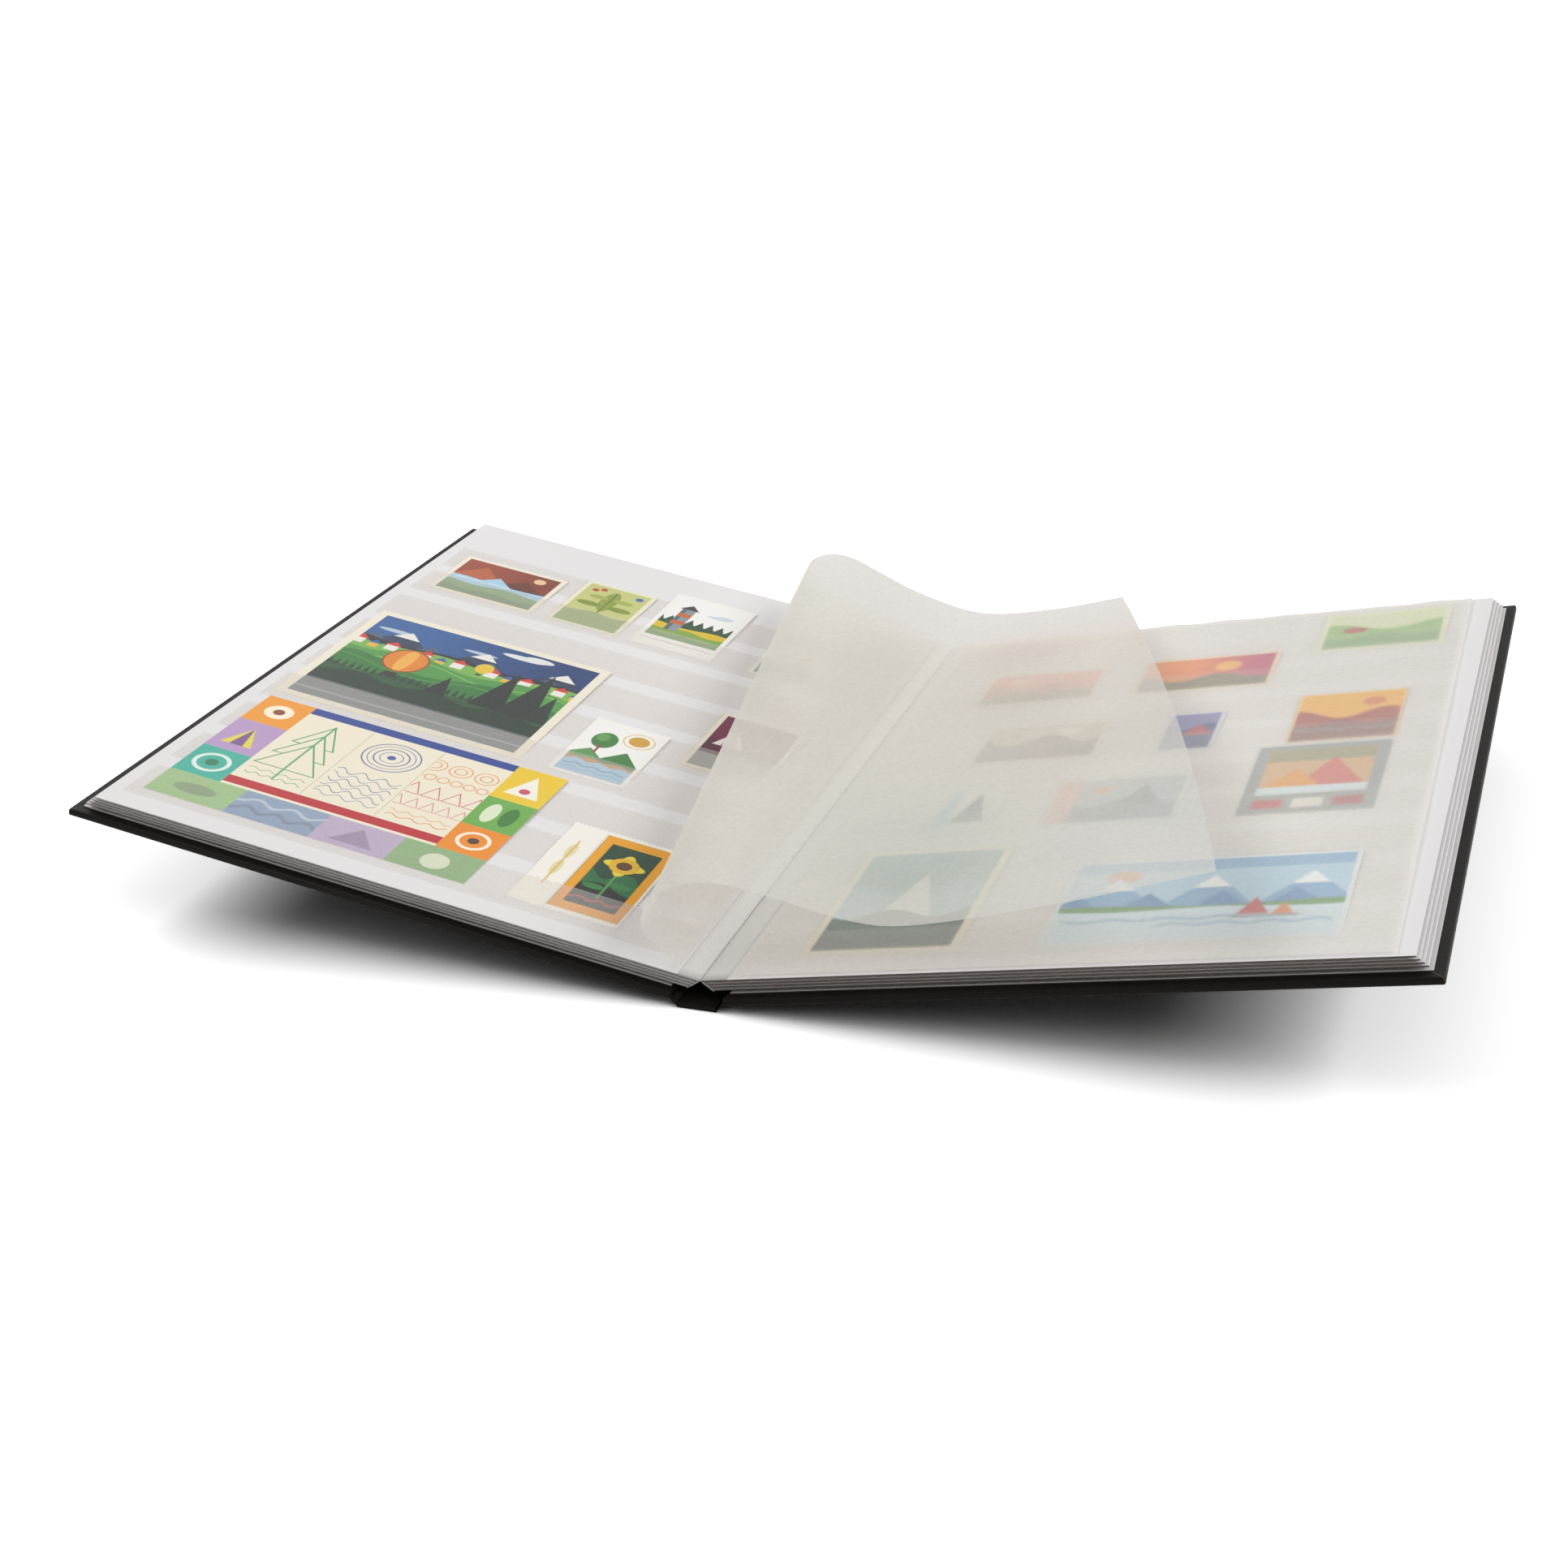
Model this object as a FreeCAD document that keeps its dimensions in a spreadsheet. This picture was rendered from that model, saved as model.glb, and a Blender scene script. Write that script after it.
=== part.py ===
"""Hardcover stamp album, open at the middle and standing on its spine.

X runs across the open album, Y from tail to head, Z up.  The origin is the middle of the
spine's underside.  Each half of the album is laid out flat, with X as the distance from the
gutter axis and Z as the height over it, and is then tipped up by the opening angle.
"""
import FreeCAD, Part
import os
import Sketcher

Vector = FreeCAD.Vector
doc = FreeCAD.newDocument("StampAlbum")
sheet = doc.addObject("Spreadsheet::Sheet", "Sizes")

SIZES = [
    ("opening", 10.3, "slope of each half, degrees"),
    ("page_height", 297.0, "leaf, tail to head"),
    ("page_width", 216.7, "leaf, gutter to fore-edge"),
    ("card", 0.5, "card leaf"),
    ("leaf_step", 1.05, "each lower leaf starts this much further out"),
    ("leaf_start", 0.5, "top leaf from the gutter axis"),
    ("linen", 0.15, "linen strip"),
    ("linen_left", 7.0, "gutter linen on the left page"),
    ("linen_right", 8.5, "gutter linen on the right page"),
    ("back_clear", 0.06, "linen off the backs of the leaves"),
    ("strip_count", 9, "pockets on a page"),
    ("strip_height", 21.5, "pocket strip"),
    ("strip_hem", 4.0, "glued foot of a strip"),
    ("strip_sheet", 0.05, "glassine of a strip"),
    ("strip_gap", 0.14, "pocket at its floor"),
    ("strip_lift", 0.18, "strip leans out by this at its mouth"),
    ("head_margin", 29.7, "head of the leaf to the first strip's mouth"),
    ("tail_margin", 9.0, "last strip's foot to the tail of the leaf"),
    ("strip_pitch", "=(page_height - head_margin - strip_height - tail_margin) / (strip_count - 1)",
     "one pocket to the next"),
    ("gutter_margin", 11.5, "gutter edge of the leaf to the strips"),
    ("fore_margin", 4.7, "strips to the fore-edge of the leaf"),
    ("tissue", 0.05, "glassine interleaf"),
    ("tissue_clear", 0.06, "interleaf off the strips on either side"),
    ("tissue_short", 1.5, "interleaf inside the leaf at head and tail"),
    ("tissue_narrow", 5.7, "interleaf inside the leaf's width"),
    ("tissue_start", 1.0, "open interleaf from the gutter axis"),
    ("tissue_height", "=page_height - 2 * tissue_short", "interleaf, tail to head"),
    ("tissue_width", "=page_width - tissue_narrow", "interleaf, gutter to fore-edge"),
    ("leaf_pitch", "=card + 2 * (strip_gap + strip_sheet) + tissue + 2 * tissue_clear", "one leaf to the next"),
    ("stamp", 0.1, "stamp paper"),
    ("stamp_seat", 0.8, "stamp over the pocket floor"),
    ("stamp_float", 0.02, "stamp off the page"),
    ("stamp_clear", 0.04, "leaning stamp off the mouth of the strip above"),
    ("stamp_rise", "=strip_gap + strip_lift + strip_sheet + stamp_clear",
     "stamps stand off by this at the end of their lean"),
    ("plan_lean", 48.0, "stamps lean over this height on the plan"),
    ("plan_width", 216.7, "page width that the stamp plan is drawn for"),
    ("plan_pitch", 29.6, "pocket pitch that the stamp plan is drawn for"),
    ("stamp_run", "=plan_lean * strip_pitch / plan_pitch", "stamps lean over this height"),
    ("over_clear", 0.09, "open interleaf off the stamps"),
    ("tissue_over", "=stamp_float + stamp_rise + stamp + over_clear", "open interleaf over the right page"),
    ("drop_clear", 0.13, "open interleaf under the gutter axis"),
    ("page_drop", "=tissue_over + tissue + drop_clear", "top page under the gutter axis"),
    ("facing_clear", 0.62, "strips of the lowest leaf off those of the pasted leaf"),
    ("under_gap", "=2 * (strip_gap + strip_sheet) + facing_clear", "lowest leaf over the pasted leaf"),
    ("pasted", 0.35, "pasted leaf"),
    ("pasted_start", 9.0, "pasted leaf from the gutter axis"),
    ("pasted_margin", 3.0, "gutter edge of the pasted leaf to its strips"),
    ("cover_start", 7.6, "cover from the gutter axis"),
    ("head_square", 4.0, "cover beyond the leaves at head and tail"),
    ("fore_square", 3.4, "cover beyond the pasted leaf at the fore-edge"),
    ("cover_height", "=page_height + 2 * head_square", "cover, tail to head"),
    ("board", 1.9, "greyboard"),
    ("skin", 0.3, "leatherette"),
    ("turn_in", 15.0, "leatherette turned over the board"),
    ("cut_past", 1.0, "cutting boxes reach this far past the piece"),
    ("spine_width", 13.0, "flat of the spine"),
    ("spine_board", 1.0, "spine stiffener"),
    ("joint_clear", 0.1, "joint cloth off the cover"),
    ("axis_clear", 0.6, "cover's outer face, laid flat, over the ground"),
    ("axis_height", "=page_drop + 3 * leaf_pitch + card + under_gap + pasted + 2 * skin + board + axis_clear",
     "gutter axis over the ground"),
    ("turning_sheet", 0.25, "stand-in thickness of the half-turned interleaf"),
    ("turning_plan", 211.0, "interleaf width that the turning outlines are drawn for"),
]
for row, (alias, value, note) in enumerate(SIZES, start=1):
    sheet.set("A%d" % row, note)
    sheet.set("B%d" % row, str(value))
    sheet.setAlias("B%d" % row, alias)
doc.recompute()

LEAVES = 4
LEFT = -1
RIGHT = 1
SIDE_NAMES = {LEFT: "left", RIGHT: "right"}
COVER_NAMES = {LEFT: "front", RIGHT: "back"}


def size(alias):
    """Value of a named size."""
    return float(sheet.get(alias))


def of_sheet(text):
    """Expression with every size name looked up in the sheet."""
    for alias, value, note in sorted(SIZES, key=lambda entry: -len(entry[0])):
        text = text.replace("#" + alias, "Sizes." + alias)
    return text


def bind(item, name, text):
    item.setExpression(name, of_sheet(text))


def amount(text):
    """Number that an expression of named sizes comes to, worked out in a spare cell of the sheet."""
    sheet.set("C1", "=" + text.replace("#", ""))
    sheet.recompute()
    return float(sheet.C1)


nodes = []


def name_node(item, label):
    """Name a finished piece and list it for writing."""
    item.Label = label
    nodes.append(item)
    return item


def tip_up(item, side):
    """Seat a flat half-album piece on the gutter axis, tipped up by the opening angle."""
    tilt = FreeCAD.Rotation(Vector(0, -side, 0), size("opening"))
    item.Placement = FreeCAD.Placement(Vector(0, 0, size("axis_height")), tilt)
    bind(item, "Placement.Base.z", "#axis_height")
    bind(item, "Placement.Rotation.Angle", "#opening")


def slab(name, side, near, far, height, low, high, middle="0"):
    """Box from near to far off the gutter, centred on Y, from low to high."""
    box = doc.addObject("Part::Box", name)
    bind(box, "Length", "(%s) - (%s)" % (far, near))
    bind(box, "Width", height)
    bind(box, "Height", "(%s) - (%s)" % (high, low))
    bind(box, "Placement.Base.x", near if side == RIGHT else "-(%s)" % far)
    bind(box, "Placement.Base.y", "(%s) - (%s) / 2" % (middle, height))
    bind(box, "Placement.Base.z", low)
    return box


def half_piece(label, side, members):
    """One node made of flat pieces that tip up together."""
    group = doc.addObject("Part::Compound", label)
    group.Links = members
    tip_up(group, side)
    return name_node(group, label)


def prism(name, section, length, across, along, up):
    """Pad of a closed section drawn in Y and Z, along X.

    section is a list of (y, z) expressions, none negative; the drawing's origin stands at
    along, up, and across is the X at which the pad begins.
    """
    body = doc.addObject("PartDesign::Body", name)
    plane = [item for item in body.Origin.OriginFeatures if item.Role == "YZ_Plane"][0]
    drawing = body.newObject("Sketcher::SketchObject", name + "_section")
    drawing.AttachmentSupport = (plane, [""])
    drawing.MapMode = "FlatFace"
    values = [(amount(y), amount(z)) for y, z in section]
    count = len(section)
    for index in range(count):
        first = Vector(*values[index], 0)
        second = Vector(*values[(index + 1) % count], 0)
        drawing.addGeometry(Part.LineSegment(first, second), False)
    for index in range(count):
        drawing.addConstraint(Sketcher.Constraint("Coincident", index, 2, (index + 1) % count, 1))
    for index, (y, z) in enumerate(section):
        for kind, text in (("DistanceX", y), ("DistanceY", z)):
            datum = Sketcher.Constraint(kind, -1, 1, index, 1, amount(text))
            number = drawing.addConstraint(datum)
            drawing.setExpression("Constraints[%d]" % number, of_sheet(text))
    bind(drawing, "AttachmentOffset.Base.x", along)
    bind(drawing, "AttachmentOffset.Base.y", up)
    bind(drawing, "AttachmentOffset.Base.z", across)
    pad = body.newObject("PartDesign::Pad", name + "_pad")
    pad.Profile = drawing
    bind(pad, "Length", length)
    return body


# Heights over the gutter axis, top page first

def leaf_top(depth):
    """Upper face of the leaf that lies this many leaves below the top one."""
    return "-#page_drop - %d * #leaf_pitch" % depth


LEAF_1_BOTTOM = leaf_top(LEAVES - 1) + " - #card"
PASTED_TOP = LEAF_1_BOTTOM + " - #under_gap"
COVER_TOP = PASTED_TOP + " - #pasted"
BOARD_TOP = COVER_TOP + " - #skin"
BOARD_BOTTOM = BOARD_TOP + " - #board"
COVER_BOTTOM = BOARD_BOTTOM + " - #skin"
PASTED_END = "#leaf_start + %d * #leaf_step + #page_width" % LEAVES
COVER_END = PASTED_END + " + #fore_square"


# Spine: stiffener between its covering and its lining

def spine_plate(label, width, low, high):
    plate = doc.addObject("Part::Box", label)
    bind(plate, "Length", width)
    bind(plate, "Width", "#cover_height")
    bind(plate, "Height", "(%s) - (%s)" % (high, low))
    bind(plate, "Placement.Base.x", "-(%s) / 2" % width)
    bind(plate, "Placement.Base.y", "-#cover_height / 2")
    bind(plate, "Placement.Base.z", low)
    name_node(plate, label)


spine_plate("spine_covering", "#spine_width", "0", "#skin")
spine_plate("spine_board", "#spine_width - 2 * #skin", "#skin", "#skin + #spine_board")
spine_plate("spine_lining", "#spine_width - 2 * #skin", "#skin + #spine_board", "2 * #skin + #spine_board")


# Joint cloth: the bent strip from the spine's edge to the cover's outer skin

def flat_to_space(side, out, up):
    """Place of a flat half-album point once the half is tipped up."""
    tilt = FreeCAD.Rotation(Vector(0, -side, 0), size("opening"))
    return tilt.multVec(Vector(side * out, 0, up)) + Vector(0, 0, size("axis_height"))


def joint_cloth(side):
    """Strip of leatherette, one skin thick, across the groove."""
    skin = size("skin")
    height = size("cover_height")
    cover_edge = size("cover_start") - size("joint_clear")
    spine_low = Vector(side * size("spine_width") / 2, 0, 0)
    spine_high = spine_low + Vector(0, 0, skin)
    cover_low = flat_to_space(side, cover_edge, amount(COVER_BOTTOM))
    cover_high = flat_to_space(side, cover_edge, amount(BOARD_BOTTOM))
    start = Vector(0, -height / 2, 0)
    outline = [point + start for point in (spine_low, cover_low, cover_high, spine_high, spine_low)]
    strip = doc.addObject("Part::Feature", COVER_NAMES[side] + "_joint_cloth")
    strip.Shape = Part.Face(Part.makePolygon(outline)).extrude(Vector(0, height, 0))
    name_node(strip, COVER_NAMES[side] + "_joint_cloth")


# Cover: greyboard, leatherette with its turn-ins, pasted leaf

def cover(side):
    name = COVER_NAMES[side]
    core = slab(name + "_core", side, "#cover_start", COVER_END + " - #skin",
                "#cover_height - 2 * #skin", BOARD_BOTTOM, BOARD_TOP)
    half_piece(name + "_board", side, [core])

    whole = slab(name + "_envelope", side, "#cover_start", COVER_END, "#cover_height", COVER_BOTTOM, COVER_TOP)
    room = slab(name + "_board_room", side, "#cover_start - #cut_past", COVER_END + " - #skin",
                "#cover_height - 2 * #skin", BOARD_BOTTOM, BOARD_TOP)
    window = slab(name + "_window", side, "#cover_start - #cut_past", COVER_END + " - #turn_in",
                  "#cover_height - 2 * #turn_in", BOARD_TOP + " - #skin", COVER_TOP + " + #cut_past")
    inside = doc.addObject("Part::Fuse", name + "_inside")
    inside.Base = room
    inside.Tool = window
    wrap = doc.addObject("Part::Cut", name + "_covering")
    wrap.Base = whole
    wrap.Tool = inside
    tip_up(wrap, side)
    name_node(wrap, name + "_covering")

    leaf = slab(name + "_leaf", side, "#pasted_start", PASTED_END, "#page_height", COVER_TOP, PASTED_TOP)
    filling = slab(name + "_filling", side, "#pasted_start", COVER_END + " - #turn_in",
                   "#cover_height - 2 * #turn_in", BOARD_TOP, COVER_TOP)
    pasted = doc.addObject("Part::Fuse", name + "_pasted_leaf")
    pasted.Base = leaf
    pasted.Tool = filling
    tip_up(pasted, side)
    name_node(pasted, name + "_pasted_leaf")
    near = "#pasted_start + #pasted_margin"
    pockets = pocket_rows(name + "_pasted_rows", side, near, PASTED_END + " - #fore_margin", PASTED_TOP, "0")
    half_piece(name + "_pasted_pockets", side, [pockets])


# Pocket strips: glued foot, and a glassine front that is open at the head

def pocket_rows(name, side, near, far, page, lift):
    """All strips of one page, as separate solids, on a page at height page."""
    foot = "#strip_gap + #strip_sheet"
    mouth = "#strip_gap + " + lift
    section = [
        ("0", "0"),
        ("#strip_hem", "0"),
        ("#strip_hem", "#strip_gap"),
        ("#strip_height", mouth),
        ("#strip_height", mouth + " + #strip_sheet"),
        ("#strip_hem", foot),
        ("0", foot),
    ]
    across = near if side == RIGHT else "-(%s)" % far
    lowest = "#page_height / 2 - #head_margin - #strip_height - (#strip_count - 1) * #strip_pitch"
    body = prism(name, section, "(%s) - (%s)" % (far, near), across, lowest, page)
    body.AllowCompound = True
    rows = body.newObject("PartDesign::LinearPattern", name + "_rows")
    rows.Originals = [body.Tip]
    axis = [item for item in body.Origin.OriginFeatures if item.Role == "Y_Axis"][0]
    rows.Direction = (axis, [""])
    bind(rows, "Length", "#strip_pitch * (#strip_count - 1)")
    bind(rows, "Occurrences", "#strip_count")
    body.Tip = rows
    return body


# Leaves, their pockets and the interleaves between them

def half_block(side):
    name = SIDE_NAMES[side]
    for number in range(1, LEAVES + 1):
        depth = LEAVES - number
        near = "#leaf_start + %d * #leaf_step" % depth
        far = near + " + #page_width"
        top = leaf_top(depth)
        card = slab("%s_card_%d" % (name, number), side, near, far, "#page_height", top + " - #card", top)
        half_piece("%s_leaf_%d" % (name, number), side, [card])
        strip_near = near + " + #gutter_margin"
        strip_far = far + " - #fore_margin"
        lift = "#strip_lift" if depth == 0 else "0"
        upper = pocket_rows("%s_rows_%d" % (name, number), side, strip_near, strip_far, top, lift)
        plain = pocket_rows("%s_plain_rows_%d" % (name, number), side, strip_near, strip_far, top, "0")
        lower = doc.addObject("Part::Mirroring", "%s_under_rows_%d" % (name, number))
        lower.Source = plain
        lower.Normal = Vector(0, 0, 1)
        bind(lower, "Base.z", top + " - #card / 2")
        half_piece("%s_pockets_%d" % (name, number), side, [upper, lower])
        if depth > 0:
            middle = top + " + (#leaf_pitch - #card) / 2"
            tissue = slab("%s_tissue_%d" % (name, number), side, near, near + " + #tissue_width", "#tissue_height",
                          middle + " - #tissue / 2", middle + " + #tissue / 2")
            half_piece("%s_interleaf_%d" % (name, number), side, [tissue])

    page = leaf_top(0)
    width = "#linen_left" if side == LEFT else "#linen_right"
    linen = slab(name + "_gutter_strip", side, "#leaf_start", "#leaf_start + " + width, "#page_height",
                 page, page + " + #linen")
    half_piece(name + "_gutter_linen", side, [linen])
    back_linen(side)


def back_linen(side):
    """Linen down the slanted backs of the leaves, parallel to the line of their lower corners."""
    slope = Vector(side * size("leaf_step"), 0, -size("leaf_pitch")).normalize()
    outward = Vector(slope.z * side, 0, -slope.x * side)
    corner = Vector(side * size("leaf_start"), 0, -size("page_drop") - size("card"))
    first = corner + outward * size("back_clear")
    run = ((LEAVES - 1) * size("leaf_step") ** 2 + (LEAVES - 1) * size("leaf_pitch") ** 2)
    length = run / Vector(size("leaf_step"), 0, size("leaf_pitch")).Length + size("card")
    thick = outward * size("linen")
    start = Vector(0, -size("page_height") / 2, 0)
    outline = [first, first + slope * length, first + slope * length + thick, first + thick, first]
    strip = doc.addObject("Part::Feature", SIDE_NAMES[side] + "_back_linen")
    face = Part.Face(Part.makePolygon([point + start for point in outline]))
    strip.Shape = face.extrude(Vector(0, size("page_height"), 0))
    tip_up(strip, side)
    name_node(strip, SIDE_NAMES[side] + "_back_linen")


# Stamps: label, pocket row from the head, distance from the gutter, width, height

LEFT_STAMPS = [
    ("stamp_brown", 2, 160.0, 47.0, 39.0),
    ("stamp_green", 2, 122.0, 32.0, 46.0),
    ("stamp_tall", 2, 81.0, 36.0, 56.0),
    ("stamp_under_fold", 2, 40.0, 26.0, 30.0),
    ("sheet_landscape", 6, 110.0, 99.5, 86.0),
    ("stamp_medallion", 6, 69.0, 30.5, 47.0),
    ("stamp_maroon", 5, 26.0, 34.0, 49.0),
    ("sheet_panels", 9, 88.0, 119.5, 83.5),
    ("stamp_with_tab", 9, 33.8, 40.0, 57.5),
]
RIGHT_STAMPS = [
    ("lime", 1, 155.0, 48.0, 40.0),
    ("sunset", 2, 90.0, 53.0, 35.0),
    ("coral", 2, 28.0, 48.0, 33.0),
    ("sepia", 4, 42.0, 48.0, 36.0),
    ("violet", 4, 110.0, 22.0, 36.0),
    ("amber", 4, 157.0, 38.0, 44.0),
    ("framed", 6, 150.0, 44.0, 56.0),
    ("slate", 6, 82.0, 48.0, 39.0),
    ("narrow", 6, 42.0, 24.0, 38.0),
    ("teal", 9, 28.0, 52.0, 75.0),
    ("ribbon", 9, 105.0, 90.0, 57.0),
]


def stamp_piece(name, side, row, out, width, height):
    """Sheet of paper that leans from its pocket over the strips above it."""
    tall = "%g * #strip_pitch / #plan_pitch" % height
    leaning = amount(tall) <= size("stamp_run")
    lean = tall if leaning else "#stamp_run"
    rise = "#stamp_rise * (%s) / #stamp_run" % lean
    section = [("0", "0"), (lean, rise)]
    if not leaning:
        section.append((tall, rise))
        section.append((tall, rise + " + #stamp"))
    section.append((lean, rise + " + #stamp"))
    section.append(("0", "#stamp"))
    mouth = "#page_height / 2 - #head_margin - %d * #strip_pitch" % (row - 1)
    foot = mouth + " - #strip_height + #strip_hem + #stamp_seat"
    across = "%g * #page_width / #plan_width" % (out if side == RIGHT else -out - width)
    wide = "%g * #page_width / #plan_width" % width
    return prism(name, section, wide, across, foot, leaf_top(0) + " + #stamp_float")


# Half-turned interleaf: near and far outlines across the album, X and height over the gutter axis

TURN_NEAR = [
    (0.0, 0.0), (-5.2, 1.8), (-11.7, 5.5), (-17.4, 10.7), (-19.5, 16.7), (-16.8, 23.0), (-11.0, 28.1),
    (-3.0, 31.6), (8.0, 32.8), (26.0, 30.1), (48.0, 25.8), (68.0, 26.7), (110.0, 38.9), (158.0, 56.1),
]
TURN_FAR = [
    (0.0, 0.0), (-20.0, 7.7), (-40.0, 15.3), (-56.0, 21.7), (-63.0, 26.5), (-63.2, 30.7), (-59.5, 34.0),
    (-52.0, 36.1), (-43.0, 34.7), (-31.0, 29.1), (-14.0, 21.5), (12.0, 15.1), (42.0, 19.2), (70.5, 26.8),
]


def sheet_curves(points, y):
    """Lower curve, upper curve and two end lines of a bent sheet's outline at one Y."""
    share = size("tissue_width") / size("turning_plan")
    base = size("axis_height")
    lower = Part.BSplineCurve()
    lower.interpolate([Vector(x * share, y, base + up * share) for x, up in points])
    first, last = lower.FirstParameter, lower.LastParameter
    steps = 8 * len(points)
    offset = []
    for step in range(steps + 1):
        place = first + (last - first) * step / steps
        run = lower.tangent(place)[0]
        offset.append(lower.value(place) + Vector(run.z, 0, -run.x) * size("turning_sheet"))
    upper = Part.BSplineCurve()
    upper.interpolate(offset)
    lines = [Part.LineSegment(lower.StartPoint, upper.StartPoint), Part.LineSegment(lower.EndPoint, upper.EndPoint)]
    return [curve.toShape() for curve in [lower, upper] + lines]


def turning_interleaf():
    """Sheet ruled from its near outline to its far one, closed by a cap at each end."""
    half = size("tissue_height") / 2
    near = sheet_curves(TURN_NEAR, -half)
    far = sheet_curves(TURN_FAR, half)
    faces = [Part.makeRuledSurface(start, end) for start, end in zip(near, far)]
    for edges in (near, far):
        faces.append(Part.Face(Part.Wire(Part.__sortEdges__(edges))))
    shell = Part.Shell(faces)
    shell.sewShape()
    turning = doc.addObject("Part::Feature", "turning_interleaf")
    turning.Shape = Part.Solid(Part.Shell(shell.Faces))
    name_node(turning, "turning_interleaf")


for side in (LEFT, RIGHT):
    joint_cloth(side)
    cover(side)
    half_block(side)
for label, row, out, width, height in LEFT_STAMPS:
    piece = stamp_piece(label + "_paper", LEFT, row, out, width, height)
    half_piece(label, LEFT, [piece])
right_papers = [stamp_piece(label + "_paper", RIGHT, row, out, width, height)
                for label, row, out, width, height in RIGHT_STAMPS]
half_piece("right_page_stamps", RIGHT, right_papers)
over = leaf_top(0) + " + #tissue_over"
open_tissue = slab("open_tissue", RIGHT, "#tissue_start", "#tissue_start + #tissue_width", "#tissue_height",
                   over, over + " + #tissue")
half_piece("right_open_interleaf", RIGHT, [open_tissue])
turning_interleaf()

doc.recompute()
for item in doc.Objects:
    if "Invalid" in item.State or "Error" in item.State:
        raise RuntimeError("%s did not rebuild: %s" % (item.Label, item.State))
os.makedirs("parts", exist_ok=True)
for item in nodes:
    shape = item.Shape
    if shape.isNull() or not shape.isValid():
        raise RuntimeError("%s has no valid shape" % item.Label)
    shape.exportStep("parts/%s.step" % item.Label)
    print("%-26s solids %3d  volume %12.3f" % (item.Label, len(shape.Solids), shape.Volume))
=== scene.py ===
"""Looks of an open hardcover stamp album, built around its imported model.

Each half of the album is laid out flat, with s as the distance from the gutter axis and h as the
height over it, both in millimetres, and is tipped up about that axis.
"""
import math

import bmesh
import bpy
import numpy as np
from mathutils import Matrix


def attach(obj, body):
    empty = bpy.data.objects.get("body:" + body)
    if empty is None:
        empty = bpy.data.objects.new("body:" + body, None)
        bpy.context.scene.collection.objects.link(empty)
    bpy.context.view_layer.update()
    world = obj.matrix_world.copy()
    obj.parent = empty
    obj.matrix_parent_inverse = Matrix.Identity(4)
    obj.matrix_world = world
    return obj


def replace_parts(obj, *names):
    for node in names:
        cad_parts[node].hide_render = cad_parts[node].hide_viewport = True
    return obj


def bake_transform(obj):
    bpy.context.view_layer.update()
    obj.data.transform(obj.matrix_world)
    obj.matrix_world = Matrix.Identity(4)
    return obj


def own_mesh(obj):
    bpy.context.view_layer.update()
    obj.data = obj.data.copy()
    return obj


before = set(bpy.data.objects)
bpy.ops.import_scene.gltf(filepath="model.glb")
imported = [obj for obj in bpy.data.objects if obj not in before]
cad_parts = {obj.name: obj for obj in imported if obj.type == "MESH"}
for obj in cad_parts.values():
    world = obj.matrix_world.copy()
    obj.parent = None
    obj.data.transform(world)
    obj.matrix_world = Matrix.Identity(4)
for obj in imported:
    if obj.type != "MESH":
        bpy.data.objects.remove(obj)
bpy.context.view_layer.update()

# Leatherette: black coated paper that is wrapped round each board and turned in over its edges.
# A fine grain is pressed into the coating, and the corners are folded to a mitre.

MM = 0.001
LEFT = -1
RIGHT = 1
TILT = math.radians(10.3)
AXIS_UP = 8.9


def half_to_space(side, s, h, y):
    """Points of a half album, in metres: (s, h) turned by the opening angle about the gutter axis."""
    x = side * (s * math.cos(TILT) - h * math.sin(TILT))
    z = AXIS_UP + s * math.sin(TILT) + h * math.cos(TILT)
    return np.stack(np.broadcast_arrays(x, y, z), axis=-1) * MM


def space_to_half(side, points):
    """The reverse of half_to_space for an array of points in metres."""
    x, y, z = np.moveaxis(np.asarray(points) / MM, -1, 0)
    out, up = side * x, z - AXIS_UP
    return out * math.cos(TILT) + up * math.sin(TILT), up * math.cos(TILT) - out * math.sin(TILT), y


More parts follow.
